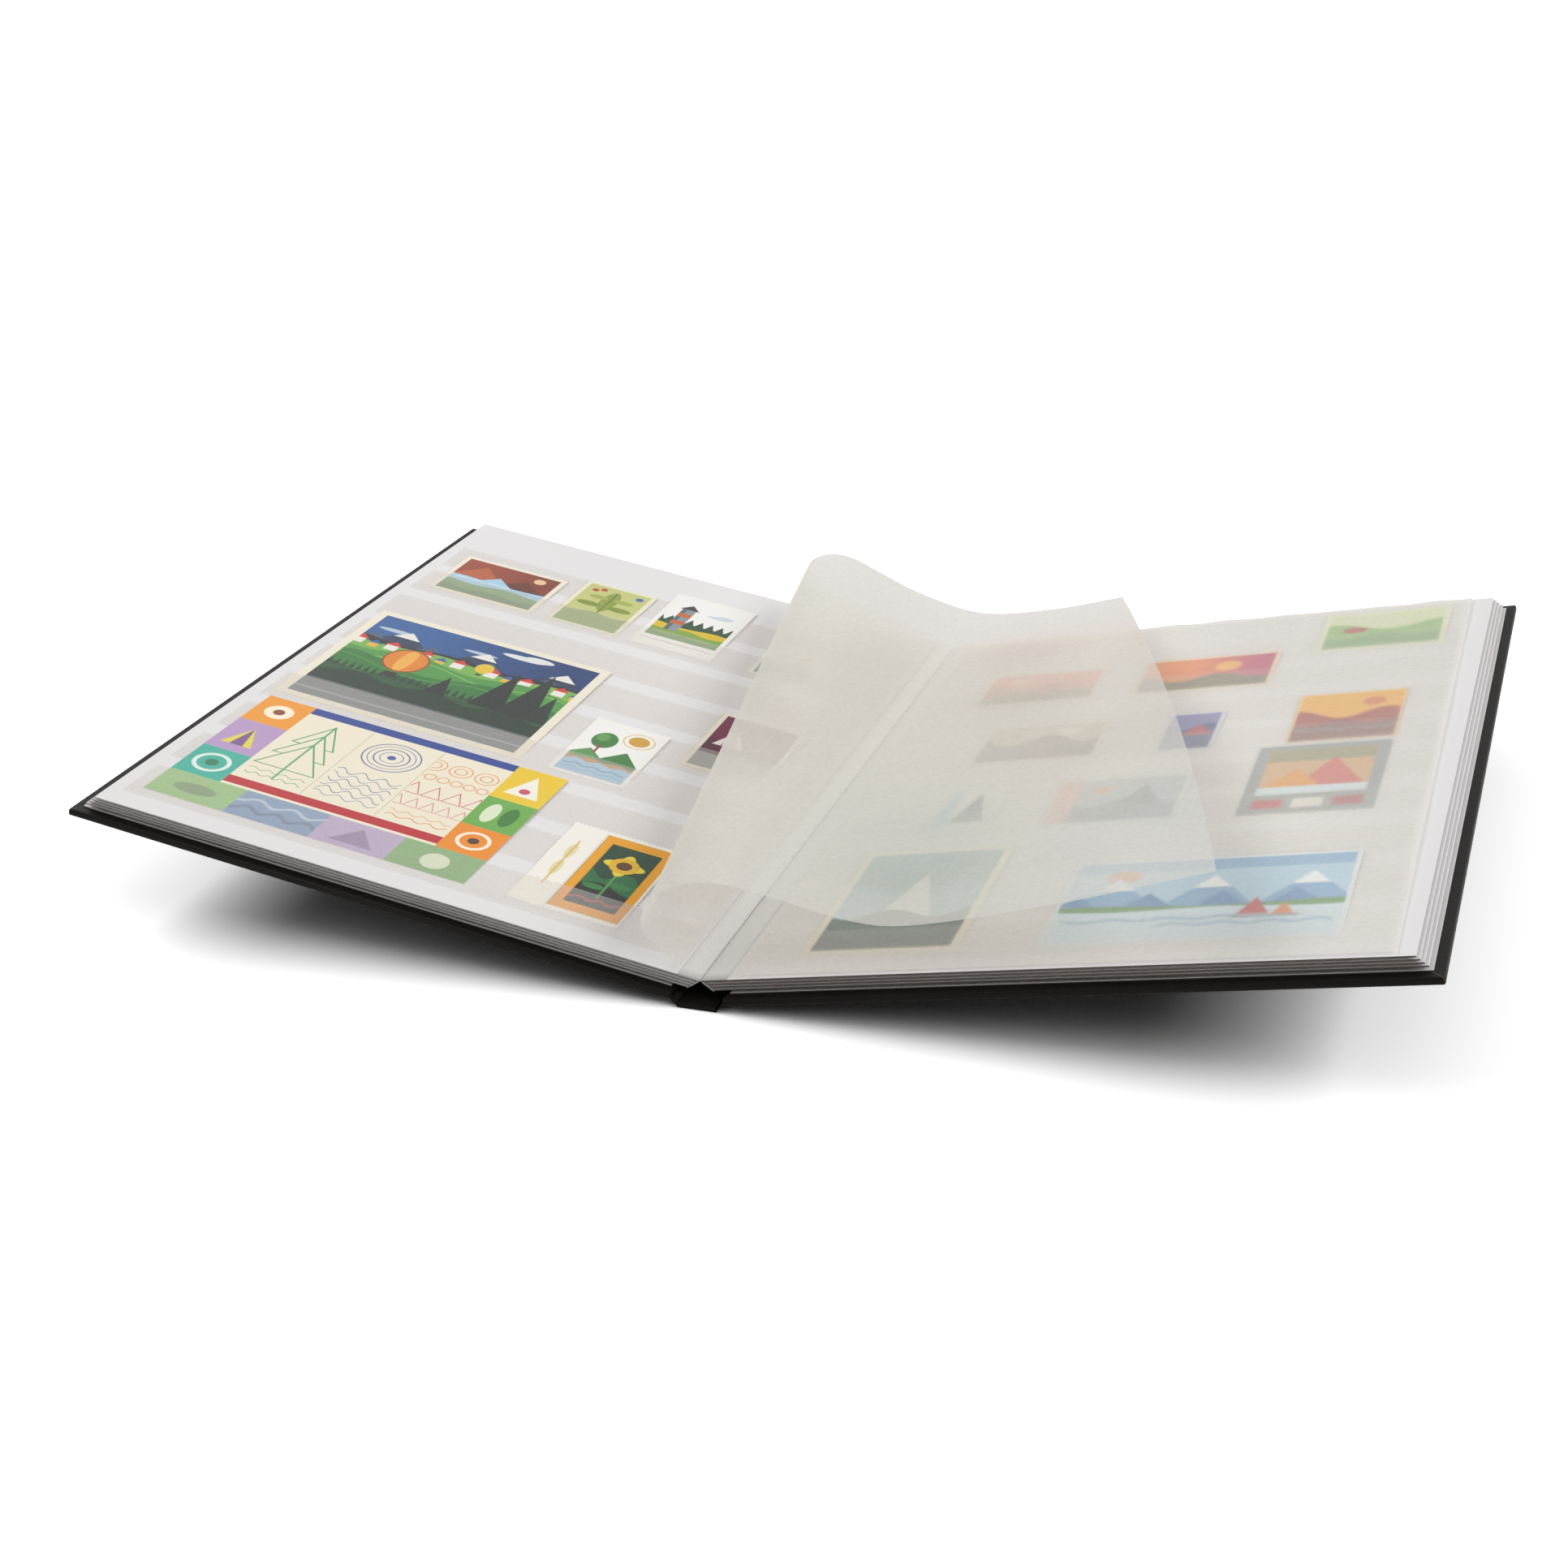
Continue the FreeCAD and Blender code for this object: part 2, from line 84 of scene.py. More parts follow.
class Wire:
    """An output socket of a material.  Arithmetic on it adds Math nodes."""

    def __init__(self, tree, socket):
        self.tree = tree
        self.socket = socket

    def node(self, kind, settings, sockets, out=0):
        """Another node: its settings are set first, then each socket gets a value or a wire."""
        made = self.tree.nodes.new(kind)
        for name, value in settings.items():
            setattr(made, name, value)
        for key, value in sockets.items():
            if isinstance(value, Wire):
                self.tree.links.new(value.socket, made.inputs[key])
            else:
                made.inputs[key].default_value = value
        return Wire(self.tree, made.outputs[out])

    def maths(self, operation, *others):
        return self.node("ShaderNodeMath", {"operation": operation}, dict(enumerate((self,) + others)))

    def __add__(self, other):
        return self.maths("ADD", other)

    __radd__ = __add__

    def __sub__(self, other):
        return self.maths("SUBTRACT", other)

    def __rsub__(self, other):
        return self.node("ShaderNodeMath", {"operation": "SUBTRACT"}, {0: other, 1: self})

    def __mul__(self, other):
        return self.maths("MULTIPLY", other)

    __rmul__ = __mul__

    def size(self):
        return self.maths("ABSOLUTE")

    def least(self, other):
        return self.maths("MINIMUM", other)

    def sine(self):
        return self.maths("SINE")

    def between(self, low, high):
        """0 at low, 1 at high, with a smooth step from one to the other."""
        limits = {"Value": self, "From Min": low, "From Max": high}
        return self.node("ShaderNodeMapRange", {"interpolation_type": "SMOOTHSTEP"}, limits)

    def split(self):
        parts = self.node("ShaderNodeSeparateXYZ", {}, {"Vector": self}).socket.node
        return [Wire(self.tree, parts.outputs[axis]) for axis in "XYZ"]

    def noise(self, scale, detail=3.0):
        return self.node("ShaderNodeTexNoise", {}, {"Vector": self, "Scale": scale, "Detail": detail})

    def colours(self, first, second):
        """Colour that goes from first to second as this wire goes from 0 to 1."""
        return self.node("ShaderNodeMix", {"data_type": "RGBA"}, {0: self, 6: first, 7: second}, out=2)

    def bump(self, distance, strength):
        return self.node("ShaderNodeBump", {}, {"Height": self, "Distance": distance, "Strength": strength})


def tint(code):
    """Linear colour of a hex code: ((c + 0.055) / 1.055) ** 2.4, and c / 12.92 for the darkest."""
    shares = [int(code[at:at + 2], 16) / 255 for at in (1, 3, 5)]
    linear = [((c + 0.055) / 1.055) ** 2.4 if c > 0.04045 else c / 12.92 for c in shares]
    return (*linear, 1.0)


def new_finish(name):
    """Material with one Principled shader: the material, the shader and a wire of Object coordinates."""
    finish = bpy.data.materials.new(name)
    finish.use_nodes = True
    shader = finish.node_tree.nodes["Principled BSDF"]
    place = finish.node_tree.nodes.new("ShaderNodeTexCoord")
    return finish, shader, Wire(finish.node_tree, place.outputs["Object"])


def feed(shader, **sockets):
    """Values or wires for a shader's sockets, with _ for a space in their names."""
    for key, value in sockets.items():
        socket = shader.inputs[key.replace("_", " ")]
        if isinstance(value, Wire):
            value.tree.links.new(value.socket, socket)
        else:
            socket.default_value = value


def paint(finish, *names):
    """Give CAD nodes a finish."""
    for name in names:
        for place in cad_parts[name].material_slots:
            place.material = finish


COVER_FORE = 222.2
COVER_HALF = 152.5
COVER_REACH = 224.8
INNER_FACE = -5.8
OUTER_FACE = -8.3
MID_BOARD = -7.0
EDGE_RADIUS = 0.8
TURN_IN = 15.0

leatherette, shader, place = new_finish("leatherette")
x, y, z = place.split()
from_fore = (COVER_FORE * MM - x.size()) * (1 / math.cos(TILT))
from_end = COVER_HALF * MM - y.size()
on_turn_in = 1 - from_fore.between(0.8 * TURN_IN * MM, TURN_IN * MM)
height = (z - AXIS_UP * MM) * math.cos(TILT) - x.size() * math.sin(TILT)
inside = height.between((MID_BOARD - 0.5) * MM, (MID_BOARD + 0.5) * MM)
mitre = (1 - (from_fore - from_end).size().between(0.0, 0.5 * MM)) * on_turn_in * inside
cells = place.node("ShaderNodeTexVoronoi", {"feature": "F1"}, {"Vector": place, "Scale": 1300.0})
blotch = place.noise(70.0)
worn = mitre.colours(blotch.colours(tint("#0f0d0c"), tint("#191614")), tint("#453f39"))
feed(shader, Base_Color=worn, Roughness=blotch * 0.06 + 0.5, Specular_IOR_Level=0.08)
feed(shader, Normal=(cells - mitre * 1.5).bump(0.08 * MM, 0.45))
paint(leatherette, "spine_covering", "spine_board", "spine_lining")


def rounded_cover(side, node, name):
    """Copy of a cover's leatherette that is rounded over along the edges where its outer walls meet."""
    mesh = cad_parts[node].data.copy()
    work = bmesh.new()
    work.from_mesh(mesh)
    bmesh.ops.remove_doubles(work, verts=work.verts, dist=1e-6)
    bmesh.ops.dissolve_limit(work, angle_limit=math.radians(1), verts=work.verts, edges=work.edges)
    outer = []
    for edge in work.edges:
        s, h, y = space_to_half(side, [list(vert.co) for vert in edge.verts])
        walls = [s - COVER_REACH, np.abs(y) - COVER_HALF, h - INNER_FACE, h - OUTER_FACE]
        if sum(np.all(np.abs(wall) < 0.01) for wall in walls) >= 2:
            outer.append(edge)
    bmesh.ops.bevel(work, geom=outer, offset=EDGE_RADIUS * MM, segments=4, profile=0.5, affect="EDGES",
                    clamp_overlap=True)
    work.to_mesh(mesh)
    work.free()
    mesh.name = name
    piece = bpy.data.objects.new(name, mesh)
    bpy.context.scene.collection.objects.link(piece)
    mesh.materials.clear()
    mesh.materials.append(leatherette)
    mesh.shade_smooth()
    piece.modifiers.new("flat_faces", "WEIGHTED_NORMAL").keep_sharp = True
    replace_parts(piece, node)
    return piece


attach(rounded_cover(LEFT, "front_covering", "front_leatherette"), "front_cover")
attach(rounded_cover(RIGHT, "back_covering", "back_leatherette"), "back_cover")

# Joint cloth: the strip of leatherette between the spine and each board, where the cover turns.
# It leaves the spine flat, dips into the groove and rises to the board's outer face.

CLOTH = 0.28
GROOVE = 0.21


def grid_piece(name, points, finish):
    """Sheets over an array of points whose last axes are row, column and (x, y, z) in metres."""
    index = np.arange(points[..., 0].size).reshape(points.shape[:-1])
    low, high = index[..., :-1, :], index[..., 1:, :]
    quads = np.stack([low[..., :-1], low[..., 1:], high[..., 1:], high[..., :-1]], axis=-1).reshape(-1, 4)
    mesh = bpy.data.meshes.new(name)
    mesh.from_pydata(points.reshape(-1, 3).tolist(), [], quads.tolist())
    mesh.shade_smooth()
    mesh.materials.append(finish)
    piece = bpy.data.objects.new(name, mesh)
    bpy.context.scene.collection.objects.link(piece)
    return piece


def joint_strip(side, name):
    """Section from the spine's edge to the cover's edge: a straight line that dips by a sine arch."""
    start = np.array([6.45, 0.16])
    end = np.array([8.83, 2.23])
    share = np.linspace(0, 1, 13)[None, :]
    y = np.linspace(-COVER_HALF, COVER_HALF, 9)[:, None]
    dip = GROOVE * np.sin(np.pi * share)
    x = side * (start[0] + (end[0] - start[0]) * share - dip)
    z = start[1] + (end[1] - start[1]) * share + dip
    points = np.stack(np.broadcast_arrays(x, y, z), axis=-1) * MM
    piece = grid_piece(name, points[:, ::side], leatherette)
    wall = piece.modifiers.new("thickness", "SOLIDIFY")
    wall.thickness = CLOTH * MM
    wall.offset = 0.0
    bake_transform(piece)
    return piece


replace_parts(joint_strip(LEFT, "front_joint"), "front_joint_cloth")
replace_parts(joint_strip(RIGHT, "back_joint"), "back_joint_cloth")

# Boards: grey recycled board inside the covers, wrapped in leatherette on all sides but the joint.
# Its fibres give it a mottled face.

greyboard, shader, place = new_finish("greyboard")
mottle = place.noise(400.0)
feed(shader, Base_Color=mottle.colours(tint("#8b8680"), tint("#a8a39b")), Roughness=0.9)
feed(shader, Normal=mottle.bump(0.05 * MM, 0.4))
paint(greyboard, "front_board", "back_board")

# Leaves: stiff white card, smooth on its faces.  Its head and tail edges are brownish: partly the grey core
# of cut card, partly painted shade.
# The outermost leaf of each half is pasted down on the cover.  Edges: painted light on the left half, painted
# shade on the right.

card, shader, place = new_finish("white_card")
fibre = place.noise(900.0)
tone = place.noise(14.0)
fleck = place.noise(30.0)
right_half = place.split()[0].between(-MM, MM)
# Faces turned to the head or tail get the edge colour: partly the cut card's own tone, partly painted shade.
cut = place.node("ShaderNodeTexCoord", {}, {}, out="Normal").split()[1].size().between(0.45, 0.6)
face = tone.colours(tint("#e5e2e2"), tint("#ebe8e9"))
# Lit and shaded copies of the edge colour: painted light on the left half, painted shade on the right half.
painted_lit_cut = fleck.colours(tint("#b3aaa2"), tint("#c9c2ba"))
painted_shade_cut = fleck.colours(tint("#5c5249"), tint("#766b61"))
edge = right_half.colours(painted_lit_cut, painted_shade_cut)
feed(shader, Base_Color=cut.colours(face, edge), Roughness=0.6, Specular_IOR_Level=0.3)
feed(shader, Normal=fibre.bump(0.02 * MM, 0.25))
for side_name in ("left", "right"):
    paint(card, *["%s_leaf_%d" % (side_name, number) for number in (1, 2, 3, 4)])
paint(card, "front_pasted_leaf", "back_pasted_leaf")

# Pocket strips: clear glassine film, glued along its foot and open at its mouth.
# It veils what stands behind it, and has a faint shine.


def thin_film(finish, shader, glow, clear, spread_share):
    """Film: a clear share of the light goes straight through, and part of the rest is let through spread."""
    tree = finish.node_tree
    face = Wire(tree, shader.outputs[0])
    spread = face.node("ShaderNodeBsdfTranslucent", {}, {"Color": tint(glow)})
    body = face.node("ShaderNodeMixShader", {}, {0: spread_share, 1: face, 2: spread})
    straight = face.node("ShaderNodeBsdfTransparent", {}, {})
    film = face.node("ShaderNodeMixShader", {}, {0: clear, 1: body, 2: straight})
    tree.links.new(film.socket, tree.nodes["Material Output"].inputs["Surface"])


FILM_CLEAR = 0.46
RIGHT_CLEARER = 0.25
FILM_SPREAD = 0.48

strip_film, shader, place = new_finish("strip_film")
mist = place.noise(1100.0)
right_half = place.split()[0].between(-MM, MM)
# On the right half the film is painted whiter and made clearer: painted light.
milk = right_half.colours(mist.colours(tint("#f2eee8"), tint("#f7f3ed")), tint("#ffffff"))
feed(shader, Base_Color=milk, Roughness=0.45, Specular_IOR_Level=0.2)
clear = mist.between(0.3, 0.7) * 0.06 + FILM_CLEAR + right_half * RIGHT_CLEARER
thin_film(strip_film, shader, "#faf8f4", clear, FILM_SPREAD)

PAGE_FACE = -0.8
PASTED_FACE = -5.45
CARD = 0.5
LEAF_PITCH = 1.05
ROWS = 9
TOP_MOUTH = 118.8
ROW_PITCH = 29.6
STRIP_HIGH = 21.5
GLUED_HIGH = 3.9
FREE_HIGH = 4.6
GLUED_STAND = 0.05
FREE_STAND = 0.15
OPEN_GAPE = 0.33
SHUT_GAPE = 0.165
STRIP_NEAR = 12.0
STRIP_FAR = 212.5
PASTED_FAR = 216.7
COVERED_FAR = 208.5


def film_rows(side, face, out, near, far, gape):
    """Rows of film on a page at height face: each stands off by gape at its mouth, where it waves a little.

    The page is an upper one where out is 1, and an under one where it is -1.
    """
    mouth = (TOP_MOUTH - ROW_PITCH * np.arange(ROWS))[:, None, None]
    up = np.array([0.0, GLUED_HIGH, FREE_HIGH, 10.0, 16.0, STRIP_HIGH])[:, None]
    stand = np.interp(up, [GLUED_HIGH, FREE_HIGH, STRIP_HIGH], [GLUED_STAND, FREE_STAND, gape])
    s = np.linspace(near, far, 41)
    wave = 0.07 * (stand - GLUED_STAND) * np.sin(s / 11 + mouth)
    points = half_to_space(side, s, face + out * (stand + wave), mouth - STRIP_HIGH + up)
    return points[..., ::side * out, :]


def pocket_films(name, node, body, pages):
    """One piece for the films on the pages of a leaf."""
    piece = grid_piece(name, np.stack(pages), strip_film)
    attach(piece, body)
    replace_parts(piece, node)


for side, side_name, cover in ((LEFT, "left", "front"), (RIGHT, "right", "back")):
    for number in (1, 2, 3, 4):
        deep = LEAF_PITCH * (4 - number)
        near, far = STRIP_NEAR + deep, STRIP_FAR + deep
        on_top = number == 4
        end = COVERED_FAR if side == RIGHT and on_top else far
        upper = film_rows(side, PAGE_FACE - deep, 1, near, end, OPEN_GAPE if on_top else SHUT_GAPE)
        under = film_rows(side, PAGE_FACE - deep - CARD, -1, near, far, SHUT_GAPE)
        body = side_name + ("_top_leaf" if on_top else "_block")
        name = "%s_films_%d" % (side_name, number)
        pocket_films(name, "%s_pockets_%d" % (side_name, number), body, [upper, under])
    pasted = film_rows(side, PASTED_FACE, 1, STRIP_NEAR, PASTED_FAR, SHUT_GAPE)
    pocket_films(cover + "_pasted_films", cover + "_pasted_pockets", cover + "_cover", [pasted])

# Linen: woven white tape down the fold, which joins the leaves of each half.
# It lies on the open pages beside the gutter, and down the backs of the leaves.

THREAD = 1.05
TAPE = 0.14
PAGE_HALF = 148.5

linen, shader, place = new_finish("linen")
x, y = place.split()[:2]
turn = 2 * math.pi / (THREAD * MM)
weave = ((x * turn).sine() * 0.3 + (y * turn).sine() * 0.7 + 1) * 0.5
# On the right half the tape is plain, with a faint weave, and painted greyer: painted shade.
right_half = x.between(-0.4 * MM, 0.4 * MM)
thread = weave.colours(tint("#fcfbf9"), tint("#dedad6"))
feed(shader, Base_Color=right_half.colours(thread, tint("#dfddd9")), Roughness=0.85)
feed(shader, Normal=(weave * (1 - right_half * 0.75)).bump(0.15 * MM, 0.6))


def linen_tape(side, name, section, body, node):
    """Tape whose section, a line of (s, h) points, is carried from tail to head."""
    s, h = np.array(section).T
    y = np.linspace(-PAGE_HALF, PAGE_HALF, 61)[:, None]
    points = half_to_space(side, s[None, :], h[None, :], y)
    piece = grid_piece(name, points[:, ::side], linen)
    wall = piece.modifiers.new("thickness", "SOLIDIFY")
    wall.thickness = TAPE * MM
    wall.offset = -1.0
    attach(piece, body)
    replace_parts(piece, node)


for side, side_name, width in ((LEFT, "left", 7.0), (RIGHT, "right", 8.5)):
    into_fold = [(0.08, -1.30), (-0.04, -1.00), (-0.04, -0.80), (0.10, -0.67)]
    over_page = [(0.5 + width * share, -0.65) for share in (0.25, 0.5, 0.75, 1.0)]
    linen_tape(side, side_name + "_gutter_tape", into_fold + over_page, side_name + "_top_leaf",
               side_name + "_gutter_linen")
    backs = [(0.32 + LEAF_PITCH * step, -1.48 - LEAF_PITCH * step) for step in (3.2, 2.0, 1.0, 0.0)]
    linen_tape(side, side_name + "_back_tape", backs, side_name + "_block", side_name + "_back_linen")

# Interleaves: thin cream glassine sheets between the leaves, cloudy and slightly translucent.
# Those inside the closed leaves lie flat.

TISSUE_CLEAR = 0.32
TISSUE_SPREAD = 0.58

glassine, shader, place = new_finish("glassine")
cloud = place.noise(45.0)
speck = place.noise(600.0)
milk = cloud.colours(tint("#f9f7f0"), tint("#fcfbf5"))
feed(shader, Base_Color=milk, Roughness=speck * 0.2 + 0.45, Specular_IOR_Level=0.2)
feed(shader, Normal=speck.bump(0.02 * MM, 0.25))
clear = speck.between(0.3, 0.7) * 0.05 + cloud * 0.05 + TISSUE_CLEAR
thin_film(glassine, shader, "#fbf9f3", clear, TISSUE_SPREAD)
for side_name in ("left", "right"):
    paint(glassine, *["%s_interleaf_%d" % (side_name, number) for number in (1, 2, 3)])

# Stamps: printed and perforated paper, each standing in a pocket and leaning over the strips above.
# A picture is laid on as flat inks, one shape over another, inside a bare margin.


def shape_box(u, v, x0, y0, x1, y1):
    """Depth inside an upright box."""
    across = (x1 - x0) / 2 - (u - (x0 + x1) / 2).size()
    up = (y1 - y0) / 2 - (v - (y0 + y1) / 2).size()
    return across.least(up)


def shape_disc(u, v, x, y, wide, high):
    """Depth inside an ellipse with half axes wide and high."""
    out = (u - x) * (1 / wide)
    up = (v - y) * (1 / high)
    return (1 - (out * out + up * up).maths("SQRT")) * min(wide, high)


def shape_ring(u, v, x, y, wide, high, line):
    """Depth inside an elliptic line."""
    return line / 2 - shape_disc(u, v, x, y, wide, high).size()


def shape_hill(u, v, base, swing, wave, phase):
    """Depth under a sine line across the stamp."""
    return (u * (2 * math.pi / wave) + 2 * math.pi * phase).sine() * swing + base - v


def shape_line(u, v, x0, x1, base, swing, wave, phase, line):
    """Depth inside a sine line that runs from x0 to x1."""
    drawn = line / 2 - shape_hill(u, v, base, swing, wave, phase).size()
    return drawn.least((x1 - x0) / 2 - (u - (x0 + x1) / 2).size())


def shape_peak(u, v, x, y, wide, high):
    """Depth inside a triangle on a base of half width wide, pointing down where high is negative."""
    up = (v - y) * (1 / high)
    return ((1 - up) * wide - (u - x).size()).least(up * abs(high))


def shape_fade(u, v, x0, x1):
    """Slow change from x0 to x1."""
    return u.between(x0, x1) - 0.5


def shape_row(u, v, pitch, kind, *numbers):
    """A shape repeated across the stamp, drawn in a cell of that pitch."""
    return SHAPES[kind]((u * (1 / pitch)).maths("FRACT") * pitch, v, *numbers)


SHAPES = {"box": shape_box, "disc": shape_disc, "ring": shape_ring, "hill": shape_hill, "line": shape_line,
          "peak": shape_peak, "fade": shape_fade, "row": shape_row}


def printed(name, width, height, margin, bare, ground, inks, soft):
    """Finish of a stamp: ground, each ink inside its shape, then the bare margin, on the UV map in mm."""
    finish, shader, place = new_finish(name)
    plan = place.node("ShaderNodeUVMap", {"uv_map": "print"}, {})
    u, v = plan.split()[:2]
    grain = place.noise(1500.0)
    colour = tint(ground)
    for kind, *numbers, ink in inks:
        depth = SHAPES[kind](u, v, *numbers)
        blur = 1.0 if kind == "fade" else 1 / soft
        laid = depth.node("ShaderNodeMath", {"operation": "MULTIPLY_ADD", "use_clamp": True},
                          {0: depth, 1: blur, 2: 0.5})
        colour = laid.colours(colour, tint(ink))
    inside = shape_box(u, v, margin, margin, width - margin, height - margin)
    colour = (inside * (1 / soft) + 0.5).between(0.0, 1.0).colours(tint(bare), colour)
    faded = (grain * 0.06).colours(colour, tint("#ffffff"))
    feed(shader, Base_Color=faded, Roughness=0.5, Specular_IOR_Level=0.15, Normal=grain.bump(0.01 * MM, 0.3))
    return finish


def perforated_outline(width, height, bend, holes):
    """Outline from the lower left corner round to the right, with half-round bites where it was torn."""
    pitch = 1.5
    bite = 0.52
    samples = 8

    def side_line(length, stops):
        count = max(1, round(length / pitch))
        along = np.linspace(0, length, count * samples + 1) if holes else np.array([0.0, length])
        along = np.union1d(along, [stop for stop in stops if 0 < stop < length])
        to_hole = np.abs((along * count / length) % 1.0 - 0.5) * length / count
        inset = np.sqrt(np.clip(bite ** 2 - to_hole ** 2, 0, None)) if holes else 0 * along
        return along[:-1], inset[:-1]

    across, dip = side_line(width, [])
    up, cut = side_line(height, [bend])
    back, fall = side_line(height, [height - bend])
    return np.concatenate([
        np.stack([across, dip], axis=1),
        np.stack([width - cut, up], axis=1),
        np.stack([width - across, height - dip], axis=1),
        np.stack([fall, height - back], axis=1),
    ])


LEAN_RUN = 48.0
LEAN_RISE = 0.41
PAPER = 0.1
FOOT_UP = -0.78
FOOT_DOWN = 16.7


def stamp(side, name, node, body, row, out, width, height, holes, finish):
    """Perforated paper in a pocket: its foot is under the mouth, and its face leans over the strips above."""
    outline = perforated_outline(width, height, LEAN_RUN, holes)
    u, v = outline.T
    foot = TOP_MOUTH - ROW_PITCH * (row - 1) - FOOT_DOWN
    s = out + (u if side == RIGHT else width - u)
    h = FOOT_UP + LEAN_RISE * np.minimum(v, LEAN_RUN) / LEAN_RUN
    count = len(u)
    points = np.concatenate([half_to_space(side, s, h + thick, foot + v) for thick in (0.0, PAPER)])
    ring = np.arange(count)
    after = np.roll(ring, -1)
    faces = np.stack([ring, after, after + count, ring + count], axis=1).tolist()
    for part in (v <= LEAN_RUN + 1e-6, v >= LEAN_RUN - 1e-6):
        cap = ring[part]
        if len(cap) > 2:
            faces.append((cap + count).tolist())
            faces.append(cap[::-1].tolist())
    mesh = bpy.data.meshes.new(name)
    mesh.from_pydata(points.tolist(), [], faces)
    corner = np.zeros(len(mesh.loops), dtype=np.int32)
    mesh.loops.foreach_get("vertex_index", corner)
    plan = mesh.uv_layers.new(name="print")
    plan.data.foreach_set("uv", outline[corner % count].astype(np.float32).ravel())
    mesh.materials.append(finish)
    piece = bpy.data.objects.new(name, mesh)
    bpy.context.scene.collection.objects.link(piece)
    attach(piece, body)
    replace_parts(piece, node)


